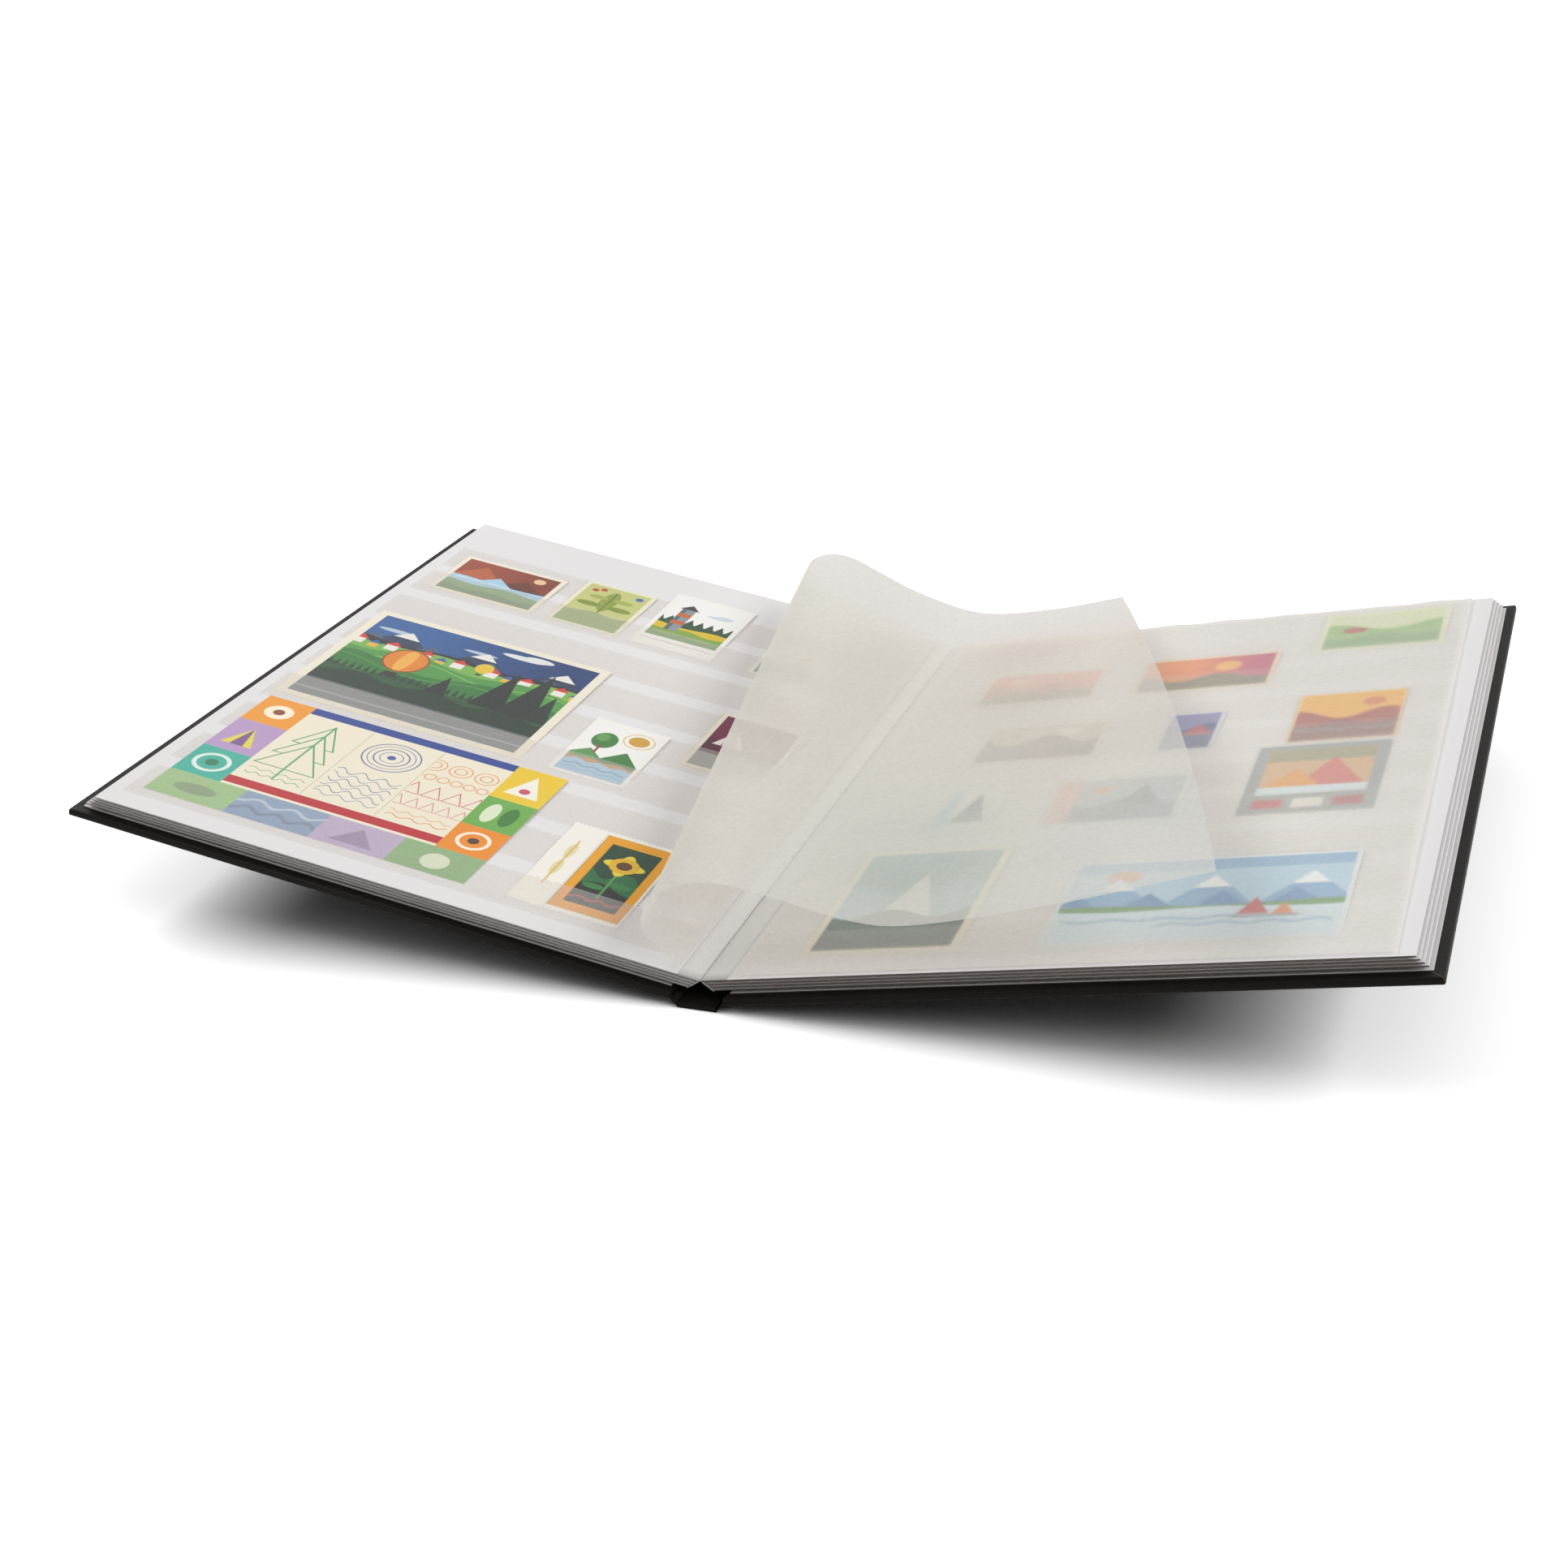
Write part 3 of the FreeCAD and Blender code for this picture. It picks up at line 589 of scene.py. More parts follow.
CREAM = "#f2ead6"
WHITE = "#f5f2ec"
LEFT_STAMPS = [
    ("stamp_brown", 2, 160.0, 47.0, 39.0, True, 2.6, CREAM, "#96401f", [
        ("fade", 10, 44, "#7d3119"),
        ("disc", 37.0, 31.0, 2.6, 2.6, "#ecc79a"),
        ("peak", 13.0, 17.0, 13.0, 15.0, "#b65a31"),
        ("peak", 33.0, 17.0, 12.0, 10.5, "#5f2413"),
        ("peak", 22.0, 17.0, 8.0, 7.5, "#a9d2e6"),
        ("hill", 18.4, 0.8, 47.0, 0.1, "#a9d2e6"),
        ("line", 5, 30, 17.0, 0.4, 7.0, 0.1, 0.5, "#eef5f8"),
        ("line", 18, 44, 15.4, 0.4, 8.0, 0.4, 0.5, "#79b1d2"),
        ("hill", 13.6, 1.0, 31.0, 0.3, "#6f9a4e"),
        ("hill", 8.0, 0.8, 22.0, 0.1, "#557d3c"),
    ]),
    ("stamp_green", 2, 122.0, 32.0, 46.0, True, 2.4, "#ece8d0", "#c6c97d", [
        ("disc", 16.0, 29.5, 3.6, 10.5, "#8f9c42"),
        ("disc", 9.2, 24.0, 5.2, 2.3, "#7f913a"),
        ("disc", 22.8, 24.0, 5.2, 2.3, "#7f913a"),
        ("disc", 10.4, 32.0, 4.2, 1.9, "#a3ae52"),
        ("disc", 21.6, 32.0, 4.2, 1.9, "#a3ae52"),
        ("box", 15.7, 14.0, 16.3, 39.0, "#66702b"),
        ("disc", 6.5, 38.0, 1.5, 1.5, "#b9472d"),
        ("disc", 9.6, 40.0, 1.5, 1.5, "#b9472d"),
        ("disc", 26.0, 39.0, 1.7, 1.7, "#3d6da8"),
        ("hill", 16.0, 1.2, 19.0, 0.5, "#8fa34b"),
    ]),
    ("stamp_tall", 2, 81.0, 36.0, 56.0, True, 2.6, WHITE, "#f4f3ef", [
        ("row", 4.4, "peak", 2.2, 28.0, 2.0, 5.6, "#25472b"),
        ("box", 2, 22.0, 34, 28.5, "#25472b"),
        ("hill", 24.4, 0.9, 27.0, 0.2, "#dcba2b"),
        ("hill", 20.6, 1.2, 21.0, 0.45, "#7fa343"),
        ("hill", 15.0, 0.8, 16.0, 0.1, "#5f8d35"),
        ("box", 2, 2.0, 34, 11.0, "#f4f3ef"),
        ("box", 2, 7.0, 34, 7.5, "#a9abac"),
        ("box", 7.6, 19.0, 13.4, 42.0, "#8a9298"),
        ("box", 7.6, 19.0, 9.6, 42.0, "#5d656b"),
        ("box", 7.6, 26.0, 13.4, 29.4, "#c4632a"),
        ("box", 7.6, 34.0, 13.4, 37.4, "#c4632a"),
        ("peak", 10.5, 42.0, 4.2, 5.0, "#2c3135"),
        ("disc", 24.0, 41.0, 5.0, 1.3, "#cdd8df"),
        ("disc", 26.5, 42.4, 3.4, 1.4, "#cdd8df"),
    ]),
    ("stamp_under_fold", 2, 40.0, 26.0, 30.0, True, 2.2, WHITE, "#dfe4da", [
        ("hill", 17.0, 2.0, 16.0, 0.2, "#9db39a"),
        ("disc", 17.0, 22.0, 3.0, 3.0, "#cab66c"),
    ]),
    ("sheet_landscape", 6, 110.0, 99.5, 86.0, False, 3.6, CREAM, "#2b5a96", [
        ("fade", 20, 90, "#16356b"),
        ("disc", 66.0, 77.0, 9.0, 1.9, "#e4e6e4"),
        ("disc", 72.0, 78.6, 6.0, 2.1, "#e4e6e4"),
        ("disc", 14.0, 71.0, 8.0, 1.5, "#b9c7d6"),
        ("disc", 50.0, 71.5, 7.0, 1.2, "#b9c7d6"),
        ("row", 33.2, "peak", 20.0, 58.0, 14.0, 15.0, "#20304c"),
        ("row", 33.2, "peak", 20.0, 67.0, 5.6, 6.0, "#ece9e0"),
        ("row", 24.9, "peak", 8.0, 57.0, 10.0, 9.0, "#4a5a72"),
        ("hill", 61.5, 1.2, 40.0, 0.2, "#10161f"),
        ("hill", 59.0, 1.6, 52.0, 0.5, "#78b04c"),
        ("row", 14.2, "box", 2.0, 54.0, 7.0, 58.5, "#ece9e0"),
        ("row", 14.2, "peak", 4.5, 58.5, 3.6, 3.6, "#d03a2b"),
        ("row", 28.4, "box", 9.6, 53.0, 13.4, 56.6, "#e3b53a"),
        ("row", 28.4, "peak", 11.5, 56.6, 2.9, 3.0, "#2d5fa0"),
        ("hill", 53.0, 2.4, 46.0, 0.55, "#4c9240"),
        ("line", 0, 99.5, 48.5, 2.6, 50.0, 0.5, 0.7, "#86bd58"),
        ("hill", 44.0, 3.4, 60.0, 0.1, "#2f7231"),
        ("line", 0, 99.5, 40.0, 3.2, 58.0, 0.15, 0.7, "#4f9440"),
        ("hill", 34.0, 2.6, 38.0, 0.3, "#1d4a24"),
        ("row", 3.1, "peak", 1.5, 32.0, 1.1, 6.0, "#0f2a17"),
        ("hill", 29.0, 2.0, 30.0, 0.6, "#0f2a17"),
        ("peak", 71.0, 30.0, 7.0, 34.0, "#0b120e"),
        ("peak", 83.0, 29.0, 8.0, 41.0, "#111c15"),
        ("peak", 91.0, 29.0, 5.0, 24.0, "#16241b"),
        ("peak", 50.0, 30.0, 4.5, 16.0, "#0b120e"),
        ("disc", 29.0, 49.0, 8.6, 10.0, "#e08420"),
        ("disc", 29.0, 49.0, 2.9, 10.0, "#f0b04a"),
        ("ring", 29.0, 49.0, 8.6, 10.0, 0.8, "#8a4a16"),
        ("box", 26.4, 33.6, 31.6, 37.6, "#23130c"),
        ("disc", 57.0, 60.0, 3.6, 4.4, "#e8c23a"),
        ("box", 56.0, 53.2, 58.0, 54.8, "#3b2416"),
        ("box", 0, 0, 99.5, 18.0, "#5c6265"),
        ("box", 0, 8.6, 99.5, 9.6, "#9a9fa2"),
        ("row", 12.0, "box", 2.0, 3.0, 8.0, 4.0, "#83898c"),
    ]),
    ("stamp_medallion", 6, 69.0, 30.5, 47.0, True, 2.2, WHITE, "#f5f3ef", [
        ("disc", 21.5, 36.5, 4.0, 4.0, "#cf9f3b"),
        ("ring", 21.5, 36.5, 5.8, 5.8, 0.6, "#e2c277"),
        ("peak", 8.0, 14.0, 9.0, 9.0, "#5b9450"),
        ("peak", 21.0, 14.0, 9.5, 12.0, "#3d7a39"),
        ("disc", 10.0, 31.0, 4.8, 6.4, "#3d7a39"),
        ("disc", 8.6, 33.0, 2.4, 3.2, "#629a4f"),
        ("box", 9.5, 20.0, 10.5, 27.0, "#8d4636"),
        ("hill", 14.6, 0.7, 11.0, 0.2, "#c58e34"),
        ("hill", 12.6, 0.7, 9.0, 0.5, "#a4c8de"),
        ("line", 3, 27, 8.6, 0.6, 7.0, 0.1, 0.9, "#5d9cc4"),
        ("line", 3, 27, 5.6, 0.6, 8.0, 0.4, 0.7, "#7db0d0"),
    ]),
    ("stamp_maroon", 5, 26.0, 34.0, 49.0, True, 2.4, CREAM, "#701640", [
        ("hill", 26.0, 2.5, 24.0, 0.3, "#551031"),
        ("peak", 11.0, 22.0, 6.0, 15.0, "#efe9e4"),
        ("peak", 11.0, 22.0, 3.0, 15.0, "#c9a0b4"),
        ("box", 0, 0, 34, 14.0, "#9d9d9b"),
    ]),
    ("sheet_panels", 9, 88.0, 119.5, 83.5, False, 0.0, CREAM, "#f3ead2", [
        ("row", 6.0, "peak", 3.0, 36.0, 2.9, 7.0, "#d97f93"),
        ("row", 6.0, "peak", 3.0, 36.3, 2.4, 5.7, "#f3ead2"),
        ("row", 8.0, "peak", 4.0, 45.0, 3.9, 9.0, "#cc5570"),
        ("row", 8.0, "peak", 4.0, 45.4, 3.3, 7.5, "#f3ead2"),
        ("row", 5.0, "ring", 2.5, 59.0, 2.0, 2.0, 0.4, "#e27a2a"),
        ("row", 10.0, "ring", 5.0, 68.0, 4.2, 4.2, 0.45, "#e9955a"),
        ("row", 10.0, "ring", 5.0, 68.0, 2.2, 2.2, 0.4, "#e27a2a"),
        ("line", 76, 99, 28.0, 0.8, 7.0, 0.1, 0.45, "#e27a2a"),
        ("line", 76, 99, 31.4, 0.8, 6.0, 0.5, 0.4, "#e9955a"),
        ("box", 0, 0, 74.5, 84, "#f3ead2"),
        ("ring", 59.7, 64.0, 10.5, 10.5, 0.5, "#3f58a6"),
        ("ring", 59.7, 64.0, 8.6, 8.6, 0.35, "#5a70b4"),
        ("ring", 59.7, 64.0, 6.4, 6.4, 0.5, "#3f58a6"),
        ("ring", 59.7, 64.0, 4.2, 4.2, 0.35, "#5a70b4"),
        ("disc", 59.7, 64.0, 1.6, 1.6, "#3f58a6"),
        ("line", 47.5, 72, 47.0, 1.6, 8.0, 0.1, 0.45, "#3f58a6"),
        ("line", 47.5, 72, 43.4, 1.6, 8.0, 0.3, 0.4, "#5a70b4"),
        ("line", 47.5, 72, 39.8, 1.6, 8.0, 0.5, 0.45, "#3f58a6"),
        ("line", 47.5, 72, 36.2, 1.6, 8.0, 0.7, 0.4, "#5a70b4"),
        ("line", 47.5, 72, 32.6, 1.6, 8.0, 0.9, 0.45, "#3f58a6"),
        ("line", 47.5, 72, 29.0, 1.2, 8.0, 0.1, 0.4, "#6f83bd"),
        ("peak", 32.5, 56.0, 8.5, 18.0, "#3f9a55"),
        ("peak", 32.5, 56.5, 7.6, 16.2, "#f3ead2"),
        ("peak", 32.5, 46.0, 10.5, 20.0, "#3f9a55"),
        ("peak", 32.5, 46.5, 9.6, 18.2, "#f3ead2"),
        ("peak", 32.5, 36.0, 12.0, 22.0, "#3f9a55"),
        ("peak", 32.5, 36.5, 11.1, 20.2, "#f3ead2"),
        ("box", 32.1, 28.0, 32.9, 74.0, "#58a86a"),
        ("line", 21.5, 43.5, 28.6, 0.7, 5.0, 0.1, 0.4, "#58a86a"),
        ("line", 21.5, 43.5, 32.0, 0.7, 6.0, 0.4, 0.35, "#58a86a"),
        ("box", 45.5, 24.0, 45.8, 78.0, "#c9bfa6"),
        ("box", 73.7, 24.0, 74.0, 78.0, "#c9bfa6"),
        ("box", 19.0, 78.5, 100.5, 83.5, "#24418f"),
        ("box", 19.0, 18.5, 100.5, 23.5, "#bb222d"),
        ("box", 0, 62, 19, 84, "#f09b22"),
        ("disc", 9.5, 73.0, 5.4, 5.4, "#fff1d6"),
        ("disc", 9.5, 73.0, 2.2, 2.2, "#8a3f1c"),
        ("box", 0, 38, 19, 62, "#b99ac6"),
        ("peak", 9.5, 43.0, 6.0, 14.0, "#e6d64c"),
        ("peak", 9.5, 43.0, 2.6, 14.0, "#7d5590"),
        ("box", 0, 17, 19, 38, "#3fb09c"),
        ("ring", 9.5, 27.5, 6.0, 6.0, 1.6, "#e4efe6"),
        ("disc", 9.5, 27.5, 2.4, 2.4, "#2a7a54"),
        ("box", 100.5, 58, 120, 84, "#eec92c"),
        ("peak", 110.0, 63.0, 6.5, 16.0, "#f8f4e4"),
        ("disc", 110.0, 67.0, 2.0, 2.0, "#c8506a"),
        ("box", 100.5, 36, 120, 58, "#6cab4a"),
        ("disc", 106.6, 47.0, 2.8, 7.0, "#e2ebcb"),
        ("disc", 113.4, 47.0, 2.8, 7.0, "#3c7a34"),
        ("box", 100.5, 17, 120, 36, "#ee8e20"),
        ("ring", 110.0, 26.5, 5.4, 5.4, 1.4, "#fff3de"),
        ("disc", 110.0, 26.5, 2.0, 2.0, "#4a2e1c"),
        ("box", 0, 0, 30, 17, "#8fc364"),
        ("disc", 15.0, 8.0, 8.0, 3.4, "#5a8f3c"),
        ("box", 30, 0, 62, 17, "#6c94c0"),
        ("line", 30, 62, 6.0, 1.5, 11.0, 0.0, 2.0, "#3f6596"),
        ("line", 30, 62, 11.5, 1.5, 13.0, 0.4, 1.6, "#b7cce0"),
        ("box", 62, 0, 90, 17, "#bda6d0"),
        ("peak", 76.0, 3.0, 8.0, 11.0, "#8a6aa6"),
        ("box", 90, 0, 120, 17, "#6cab4a"),
        ("disc", 105.0, 8.0, 5.0, 5.0, "#e2ebcb"),
    ]),
    ("stamp_with_tab", 9, 33.8, 40.0, 57.5, True, 1.2, WHITE, "#f6f2e8", [
        ("box", 13.8, 0.0, 40.0, 57.5, "#12391f"),
        ("hill", 30.0, 3.0, 15.0, 0.2, "#1f6433"),
        ("hill", 22.0, 2.0, 21.0, 0.1, "#0d1510"),
        ("box", 26.1, 14.0, 26.9, 33.0, "#4f9a45"),
        ("disc", 22.4, 21.0, 3.8, 1.7, "#2f7a39"),
        ("disc", 30.6, 25.0, 3.8, 1.7, "#2f7a39"),
        ("disc", 26.5, 38.0, 2.9, 7.4, "#e9d33b"),
        ("disc", 26.5, 38.0, 7.4, 2.9, "#e9d33b"),
        ("disc", 26.5, 38.0, 5.2, 5.2, "#e3b727"),
        ("disc", 26.5, 38.0, 2.7, 2.7, "#5b3214"),
        ("line", 17.4, 35.6, 12.4, 0.7, 7.0, 0.2, 1.2, "#b3322a"),
        ("box", 35.6, 3.0, 38.8, 55.0, "#eaa31b"),
        ("box", 14.0, 3.0, 17.4, 55.0, "#eaa31b"),
        ("box", 14.0, 50.0, 38.8, 55.0, "#eaa31b"),
        ("box", 14.0, 3.0, 38.8, 8.0, "#eaa31b"),
        ("box", 13.8, 0.0, 40.0, 3.0, "#f6f2e8"),
        ("box", 13.8, 55.0, 40.0, 57.5, "#f6f2e8"),
        ("box", 0.0, 0.0, 13.8, 57.5, "#f6f2e8"),
        ("disc", 7.0, 38.0, 1.7, 5.4, "#e6d9a8"),
        ("disc", 7.0, 26.0, 1.7, 5.4, "#e6d9a8"),
        ("box", 6.7, 14.0, 7.3, 46.0, "#d9b45e"),
        ("box", 13.2, 0.0, 13.4, 57.5, "#cfc7b4"),
    ]),
]
for node, row, out, width, height, holes, margin, bare, ground, inks in LEFT_STAMPS:
    finish = printed("print_" + node, width, height, margin, bare, ground, inks, 0.25)
    stamp(LEFT, node + "_paper", node, node, row, out, width, height, holes, finish)

RIGHT_STAMPS = [
    ("lime", 1, 155.0, 48.0, 40.0, True, 2.6, "#ecedd4", "#dfe6c2", [
        ("hill", 24.0, 4.0, 44.0, 0.15, "#9cc578"),
        ("disc", 13.0, 21.0, 4.6, 3.2, "#b93f48"),
        ("hill", 14.0, 2.0, 29.0, 0.5, "#7fae63"),
    ]),
    ("sunset", 2, 90.0, 53.0, 35.0, True, 2.0, "#f1dcc0", "#ec8a2a", [
        ("fade", 16, 48, "#c53670"),
        ("disc", 34.0, 23.0, 5.0, 5.0, "#f4b649"),
        ("hill", 13.0, 3.0, 30.0, 0.2, "#76672f"),
    ]),
    ("coral", 2, 28.0, 48.0, 33.0, True, 2.0, "#f0ddcf", "#ec8a78", [
        ("disc", 14.0, 24.0, 3.6, 3.6, "#f6ccab"),
        ("hill", 17.0, 3.0, 26.0, 0.1, "#c95e58"),
        ("hill", 10.0, 2.0, 20.0, 0.4, "#877745"),
    ]),
    ("sepia", 4, 42.0, 48.0, 36.0, True, 2.2, "#e9e2d6", "#cdc1af", [
        ("disc", 33.0, 27.0, 4.0, 4.0, "#f1e8d8"),
        ("hill", 20.0, 4.0, 28.0, 0.3, "#7d6f64"),
        ("hill", 12.0, 3.0, 19.0, 0.6, "#4a413b"),
    ]),
    ("violet", 4, 110.0, 22.0, 36.0, True, 2.0, "#dfdce8", "#8a85bf", [
        ("hill", 22.0, 3.0, 16.0, 0.2, "#465296"),
        ("peak", 14.0, 14.0, 6.0, 10.0, "#c3485a"),
    ]),
    ("amber", 4, 157.0, 38.0, 44.0, True, 1.2, "#f3d694", "#f3b837", [
        ("disc", 27.0, 34.0, 4.0, 4.0, "#e07f2e"),
        ("hill", 24.0, 4.0, 31.0, 0.2, "#b0442f"),
        ("hill", 16.0, 2.0, 22.0, 0.5, "#8c2f2a"),
        ("line", 2, 36, 10.0, 0.8, 11.0, 0.1, 1.4, "#8b8d8e"),
    ]),
    ("framed", 6, 150.0, 44.0, 56.0, False, 0.0, "#a6abae", "#a6abae", [
        ("box", 4.0, 15.0, 40.0, 52.0, "#dcb587"),
        ("box", 4.0, 42.0, 40.0, 52.0, "#a9a480"),
        ("peak", 27.0, 20.0, 12.0, 24.0, "#d9766c"),
        ("peak", 15.0, 20.0, 10.0, 16.0, "#e9a63f"),
        ("box", 4.0, 15.0, 40.0, 21.0, "#dbe7ee"),
        ("box", 4.0, 4.0, 14.0, 11.0, "#c93643"),
        ("box", 17.0, 4.0, 27.0, 11.0, "#efe7e3"),
        ("box", 30.0, 4.0, 40.0, 11.0, "#ba4649"),
    ]),
    ("slate", 6, 82.0, 48.0, 39.0, True, 2.0, "#e3e2dc", "#a9b4bc", [
        ("hill", 18.0, 4.0, 30.0, 0.2, "#56626a"),
        ("peak", 33.0, 10.0, 9.0, 22.0, "#2f353b"),
        ("disc", 18.0, 28.0, 3.6, 3.6, "#e58934"),
        ("box", 0.0, 0.0, 10.0, 39.0, "#e9ad99"),
    ]),
    ("narrow", 6, 42.0, 24.0, 38.0, True, 2.0, "#eceae4", "#e6e9e7", [
        ("peak", 14.0, 8.0, 6.0, 24.0, "#454d54"),
        ("box", 2.0, 2.0, 7.0, 36.0, "#b2d3e8"),
    ]),
    ("teal", 9, 28.0, 52.0, 75.0, True, 3.0, CREAM, "#62a6ab", [
        ("hill", 46.0, 4.0, 40.0, 0.2, "#85bccb"),
        ("peak", 27.0, 22.0, 10.0, 34.0, "#e8efe9"),
        ("hill", 27.0, 3.0, 30.0, 0.5, "#2d5a49"),
        ("hill", 12.0, 2.0, 22.0, 0.1, "#214338"),
    ]),
    ("lakeside", 9, 105.0, 90.0, 57.0, False, 1.5, "#e7eef2", "#bcd9ee", [
        ("box", 0.0, 48.0, 90.0, 57.0, "#8fbbe0"),
        ("disc", 18.0, 45.0, 5.4, 4.6, "#eb9b45"),
        ("row", 30.0, "peak", 17.0, 22.0, 15.0, 22.0, "#86b5dc"),
        ("row", 30.0, "peak", 17.0, 35.4, 5.9, 8.6, "#f4f8fb"),
        ("row", 22.5, "peak", 6.0, 22.0, 9.0, 11.0, "#5f97cb"),
        ("hill", 24.0, 1.0, 90.0, 0.2, "#5c9c49"),
        ("hill", 21.4, 0.8, 60.0, 0.4, "#d8e8f3"),
        ("line", 4, 60, 15.0, 0.8, 17.0, 0.1, 1.2, "#86b5dc"),
        ("line", 34, 86, 11.0, 0.8, 14.0, 0.4, 1.2, "#86b5dc"),
        ("peak", 62.0, 16.0, 5.0, 11.0, "#cb3f49"),
        ("peak", 71.0, 15.0, 3.6, 8.0, "#e38c32"),
        ("box", 56.0, 14.0, 76.0, 15.4, "#888e95"),
    ]),
]
for label, row, out, width, height, holes, margin, bare, ground, inks in RIGHT_STAMPS:
    finish = printed("print_" + label, width, height, margin, bare, ground, inks, 0.9)
    stamp(RIGHT, label + "_stamp_paper", "right_page_stamps", "right_top_leaf", row, out, width, height,
          holes, finish)

# Open interleaf: the glassine sheet that lies on the right page, over its stamps.
# It is limp, so it lifts a little in shallow ripples towards its head and its fore-edge.

TISSUE_HALF = 147.0
SHEET_ROOT = 8.7
SHEET_SHOWN = 203.3
ASKEW = 1.2
ON_LINEN = -0.67
STAMP_RISE = 0.51


def sheet_lift(s, y):
    """Lift of a limp sheet: sine ripples, sine swells and a faint wave all over.

    The ripples grow as a square from y = 60 to its head, the swells from s = 150 to its fore-edge.
    """
    head = np.clip((y - 60) / 87, 0, 1) ** 2
    fore = np.clip((s - 150) / 62, 0, 1) ** 2
    ripple = 0.5 + 0.5 * np.sin(2 * np.pi * (s / 23 + 0.6 * np.sin(y / 41))) * np.cos(s / 37 + 0.4)
    swell = 0.5 + 0.5 * np.sin(y / 17 + 1.4 * np.sin(s / 60))
    return 0.5 * head * ripple + 0.4 * fore * swell + 0.06 * (1 + np.sin(s / 29 + y / 43))


y = np.linspace(-TISSUE_HALF, TISSUE_HALF, 181)[:, None]
s = SHEET_ROOT + (SHEET_SHOWN - ASKEW * (1 + y / TISSUE_HALF)) * np.linspace(0, 1, 141)[None, :]
rise = np.clip((s - SHEET_ROOT) / 9, 0, 1)
level = ON_LINEN + STAMP_RISE * rise ** 2 * (3 - 2 * rise)
lifted = half_to_space(RIGHT, s, level + sheet_lift(s, y) * rise, y)
open_sheet = grid_piece("open_interleaf", lifted, glassine)
lying = tuple(half_to_space(RIGHT, 100.0, -0.2, 0.0).tolist())
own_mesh(open_sheet)
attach(open_sheet, "right_top_leaf")
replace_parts(open_sheet, "right_open_interleaf")

# Turning interleaf: the glassine sheet that is caught half turned.  It rises beside the gutter, rolls
# over to the right and runs out to its free edge.  The roll is small at the tail and large at the head.

TURN_TAIL = [
    (-7.2, 2.3), (-8.9, 3.3), (-11.7, 5.5), (-17.4, 10.7), (-19.5, 16.7), (-16.8, 23.0), (-11.0, 28.1),
    (-3.0, 31.6), (8.0, 32.8), (26.0, 30.1), (48.0, 25.8), (68.0, 26.7), (110.0, 38.9), (158.0, 56.1),
]
TURN_HEAD = [
    (-7.2, 2.3), (-20.0, 7.7), (-40.0, 15.3), (-56.0, 21.7), (-63.0, 26.5), (-63.2, 30.7), (-59.5, 34.0),
    (-52.0, 36.1), (-43.0, 34.7), (-31.0, 29.1), (-14.0, 21.5), (12.0, 15.1), (42.0, 19.2), (70.5, 26.8),
]
TURN_STEPS = 400


def turning_course(points):
    """Length run and slope angle along a smooth line through points, at even shares of its features.

    The line is a chain of cubics: the slope at each point is half the chord between its neighbours.
    Its features are the start, where it turns back, its crest, its steepest fall, its trough and its end.
    """
    p = np.array(points)
    p = np.concatenate([2 * p[:1] - p[1:2], p, 2 * p[-1:] - p[-2:-1]])
    a, b, c, d = p[:-3, None], p[1:-2, None], p[2:-1, None], p[3:, None]
    t = np.linspace(0, 1, 40, endpoint=False)[None, :, None]
    square = (2 * a - 5 * b + 4 * c - d) * t ** 2
    cube = (3 * b - a - 3 * c + d) * t ** 3
    line = 0.5 * (2 * b + (c - a) * t + square + cube)
    line = np.concatenate([line.reshape(-1, 2), p[-2:-1]])
    chord = np.diff(line, axis=0)
    run = np.concatenate([[0], np.cumsum(np.hypot(*chord.T))])
    angle = np.unwrap(np.arctan2(chord[:, 1], chord[:, 0]))
    even = np.linspace(0, run[-1], 1000)
    angle = np.interp(even, (run[1:] + run[:-1]) / 2, angle)
    angle = np.convolve(np.pad(angle, 15, mode="edge"), np.ones(31) / 31, mode="valid")
    back = np.argmax(angle < math.pi / 2)
    crest = np.argmax(angle < 0)
    fall = np.argmin(angle)
    trough = fall + np.argmax(angle[fall:] > 0)
    features = [0, back, crest, fall, trough, len(even) - 1]
    run = np.interp(np.linspace(0, 1, TURN_STEPS + 1), [0, 0.2, 0.35, 0.5, 0.65, 1], even[features])
    return run, np.interp((run[1:] + run[:-1]) / 2, even, angle)


def along_rows(values, where):
    """Values of each row at fractional columns, between the two nearest."""
    low = np.clip(where.astype(int), 0, values.shape[1] - 2)
    first = np.take_along_axis(values, low, axis=1)
    second = np.take_along_axis(values, low + 1, axis=1)
    return first + (second - first) * (where - low)


tail_run, tail_angle = turning_course(TURN_TAIL)
head_run, head_angle = turning_course(TURN_HEAD)
y = np.linspace(-TISSUE_HALF, TISSUE_HALF, 121)[:, None]
share = (y + TISSUE_HALF) / (2 * TISSUE_HALF)
angle = (1 - share) * tail_angle + share * head_angle
step = np.diff((1 - share) * tail_run + share * head_run, axis=1)
start = np.zeros_like(y)
x = TURN_TAIL[0][0] + np.concatenate([start, np.cumsum(np.cos(angle) * step, axis=1)], axis=1)
z = AXIS_UP + TURN_TAIL[0][1] + np.concatenate([start, np.cumsum(np.sin(angle) * step, axis=1)], axis=1)
last_left = TURN_STEPS - np.argmax(x[:, ::-1] < 0, axis=1)[:, None]
before = np.take_along_axis(x, last_left, axis=1)
after = np.take_along_axis(x, last_left + 1, axis=1)
crossing = last_left - before / (after - before)
part = np.linspace(0, 1, 101)[None, :]
roll = crossing * part
fall = crossing + (TURN_STEPS - crossing) * part
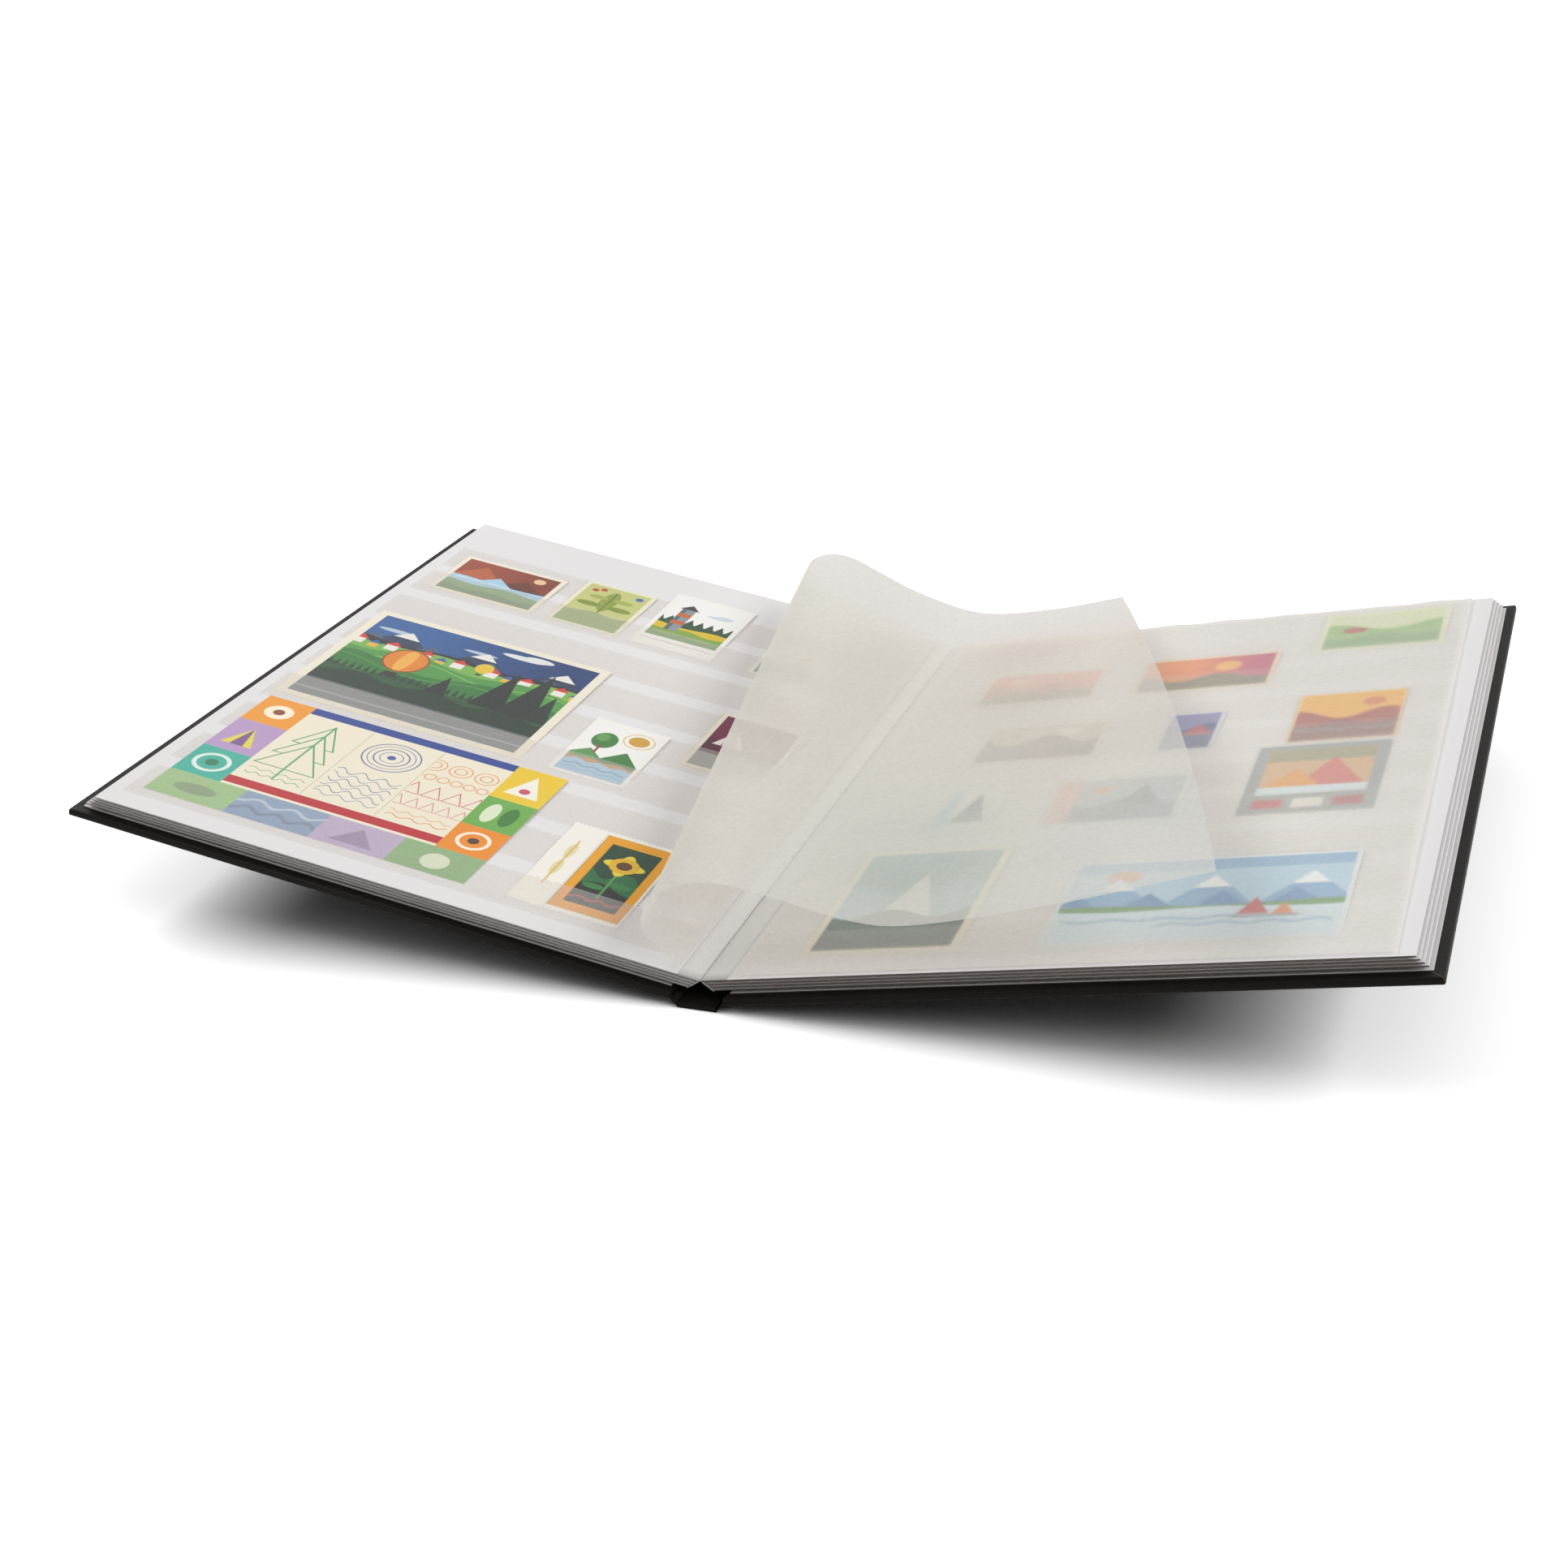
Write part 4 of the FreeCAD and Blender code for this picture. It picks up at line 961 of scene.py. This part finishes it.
for name, joint, where in (("turning_interleaf_roll", "front_cover_hinge", roll),
                           ("turning_interleaf_fall", "back_cover_hinge", fall)):
    points = np.stack(np.broadcast_arrays(along_rows(x, where), y, along_rows(z, where)), axis=-1) * MM
    piece = grid_piece(name, points, glassine)
    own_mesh(piece)
    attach(piece, "turning_interleaf")
    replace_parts(piece, "turning_interleaf")

# Studio: a white floor under a dim dome, with a broad soft lamp on each side of the album.
# The camera stands where the photograph was taken.

REACH = 2.5
LIT_WHITE = (0.8, 0.8, 0.8, 1.0)
SEEN_WHITE = (1.75, 1.75, 1.75, 1.0)


def sight(tree):
    """1 for a ray from the camera, mirrored or let through unspread, and how many films it came through."""
    ray = tree.nodes.new("ShaderNodeLightPath")
    kinds = ("Camera", "Glossy", "Transmission", "Diffuse")
    direct, mirrored, through, spread = [Wire(tree, ray.outputs["Is %s Ray" % kind]) for kind in kinds]
    seen = (direct + mirrored + through - spread).between(0.0, 1.0)
    return seen, Wire(tree, ray.outputs["Transparent Depth"])


floor_mesh = bpy.data.meshes.new("floor")
corners = [(-REACH, -REACH, 0), (REACH, -REACH, 0), (REACH, REACH, 0), (-REACH, REACH, 0)]
floor_mesh.from_pydata(corners, [], [(0, 1, 2, 3)])
floor = bpy.data.objects.new("floor", floor_mesh)
bpy.context.scene.collection.objects.link(floor)
floor.location.z = -0.2 * MM
floor_finish, shader, place = new_finish("floor_white")
seen, films = sight(floor_finish.node_tree)
paper_white = (seen * (1 - films.least(1.0))).colours(LIT_WHITE, SEEN_WHITE)
feed(shader, Base_Color=paper_white, Roughness=1.0, Specular_IOR_Level=0.0)
floor_mesh.materials.append(floor_finish)

DOME_GAIN = 0.38
DOME_LEAST = 0.02
world = bpy.data.worlds.new("studio")
bpy.context.scene.world = world
world.use_nodes = True
tree = world.node_tree
sky = tree.nodes["Background"]
seen = sight(tree)[0]
upward = seen.node("ShaderNodeTexCoord", {}, {}, out="Generated").split()[2]
glow = upward.between(0.3, 0.8) * DOME_GAIN + DOME_LEAST
sky.inputs["Color"].default_value = (1, 1, 1, 1)
tree.links.new(glow.maths("MAXIMUM", seen).socket, sky.inputs["Strength"])

LAMP_AWAY = 3.0
LAMP_BEHIND = 0.4
for name, side, rise, wide, high, power in (("left_lamp", LEFT, 44.0, 5.0, 1.5, 65.0),
                                            ("right_lamp", RIGHT, 38.5, 5.5, 1.5, 71.0)):
    box = bpy.data.lights.new(name, "AREA")
    box.shape = "RECTANGLE"
    box.size = wide
    box.size_y = high
    box.energy = power
    out, up = math.cos(math.radians(rise)), math.sin(math.radians(rise))
    away = np.array([side * out, LAMP_BEHIND * up, up])
    away /= np.linalg.norm(away)
    length = np.array([0, 1, 0]) - away[1] * away
    length /= np.linalg.norm(length)
    stand = np.eye(4)
    stand[:3, :4] = np.stack([length, np.cross(away, length), away, away * LAMP_AWAY], axis=1)
    lamp = bpy.data.objects.new(name, box)
    lamp.matrix_world = Matrix(stand.tolist())
    lamp.visible_camera = False
    bpy.context.scene.collection.objects.link(lamp)

AZIMUTH, ELEVATION, ROLL = np.radians([20.28, 24.22, -2.53])
TARGET = np.array([-29.8, 15.2, 0.1]) * MM
DISTANCE = 0.886
LENS = 54.17
level_out = np.array([math.sin(AZIMUTH), -math.cos(AZIMUTH), 0.0]) * math.cos(ELEVATION)
back = level_out + np.array([0.0, 0.0, math.sin(ELEVATION)])
level = np.cross([0, 0, 1], back)
level /= np.linalg.norm(level)
upright = np.cross(back, level)
right = math.cos(ROLL) * level + math.sin(ROLL) * upright
up = math.cos(ROLL) * upright - math.sin(ROLL) * level
view = np.eye(4)
view[:3, :4] = np.stack([right, up, back, TARGET + back * DISTANCE], axis=1)
camera_data = bpy.data.cameras.new("camera")
camera_data.lens = LENS
camera_data.sensor_width = 36.0
camera_data.sensor_fit = "HORIZONTAL"
camera = bpy.data.objects.new("camera", camera_data)
camera.matrix_world = Matrix(view.tolist())
bpy.context.scene.collection.objects.link(camera)
bpy.context.scene.camera = camera
bpy.context.scene.view_settings.view_transform = "Standard"

bpy.context.view_layer.update()
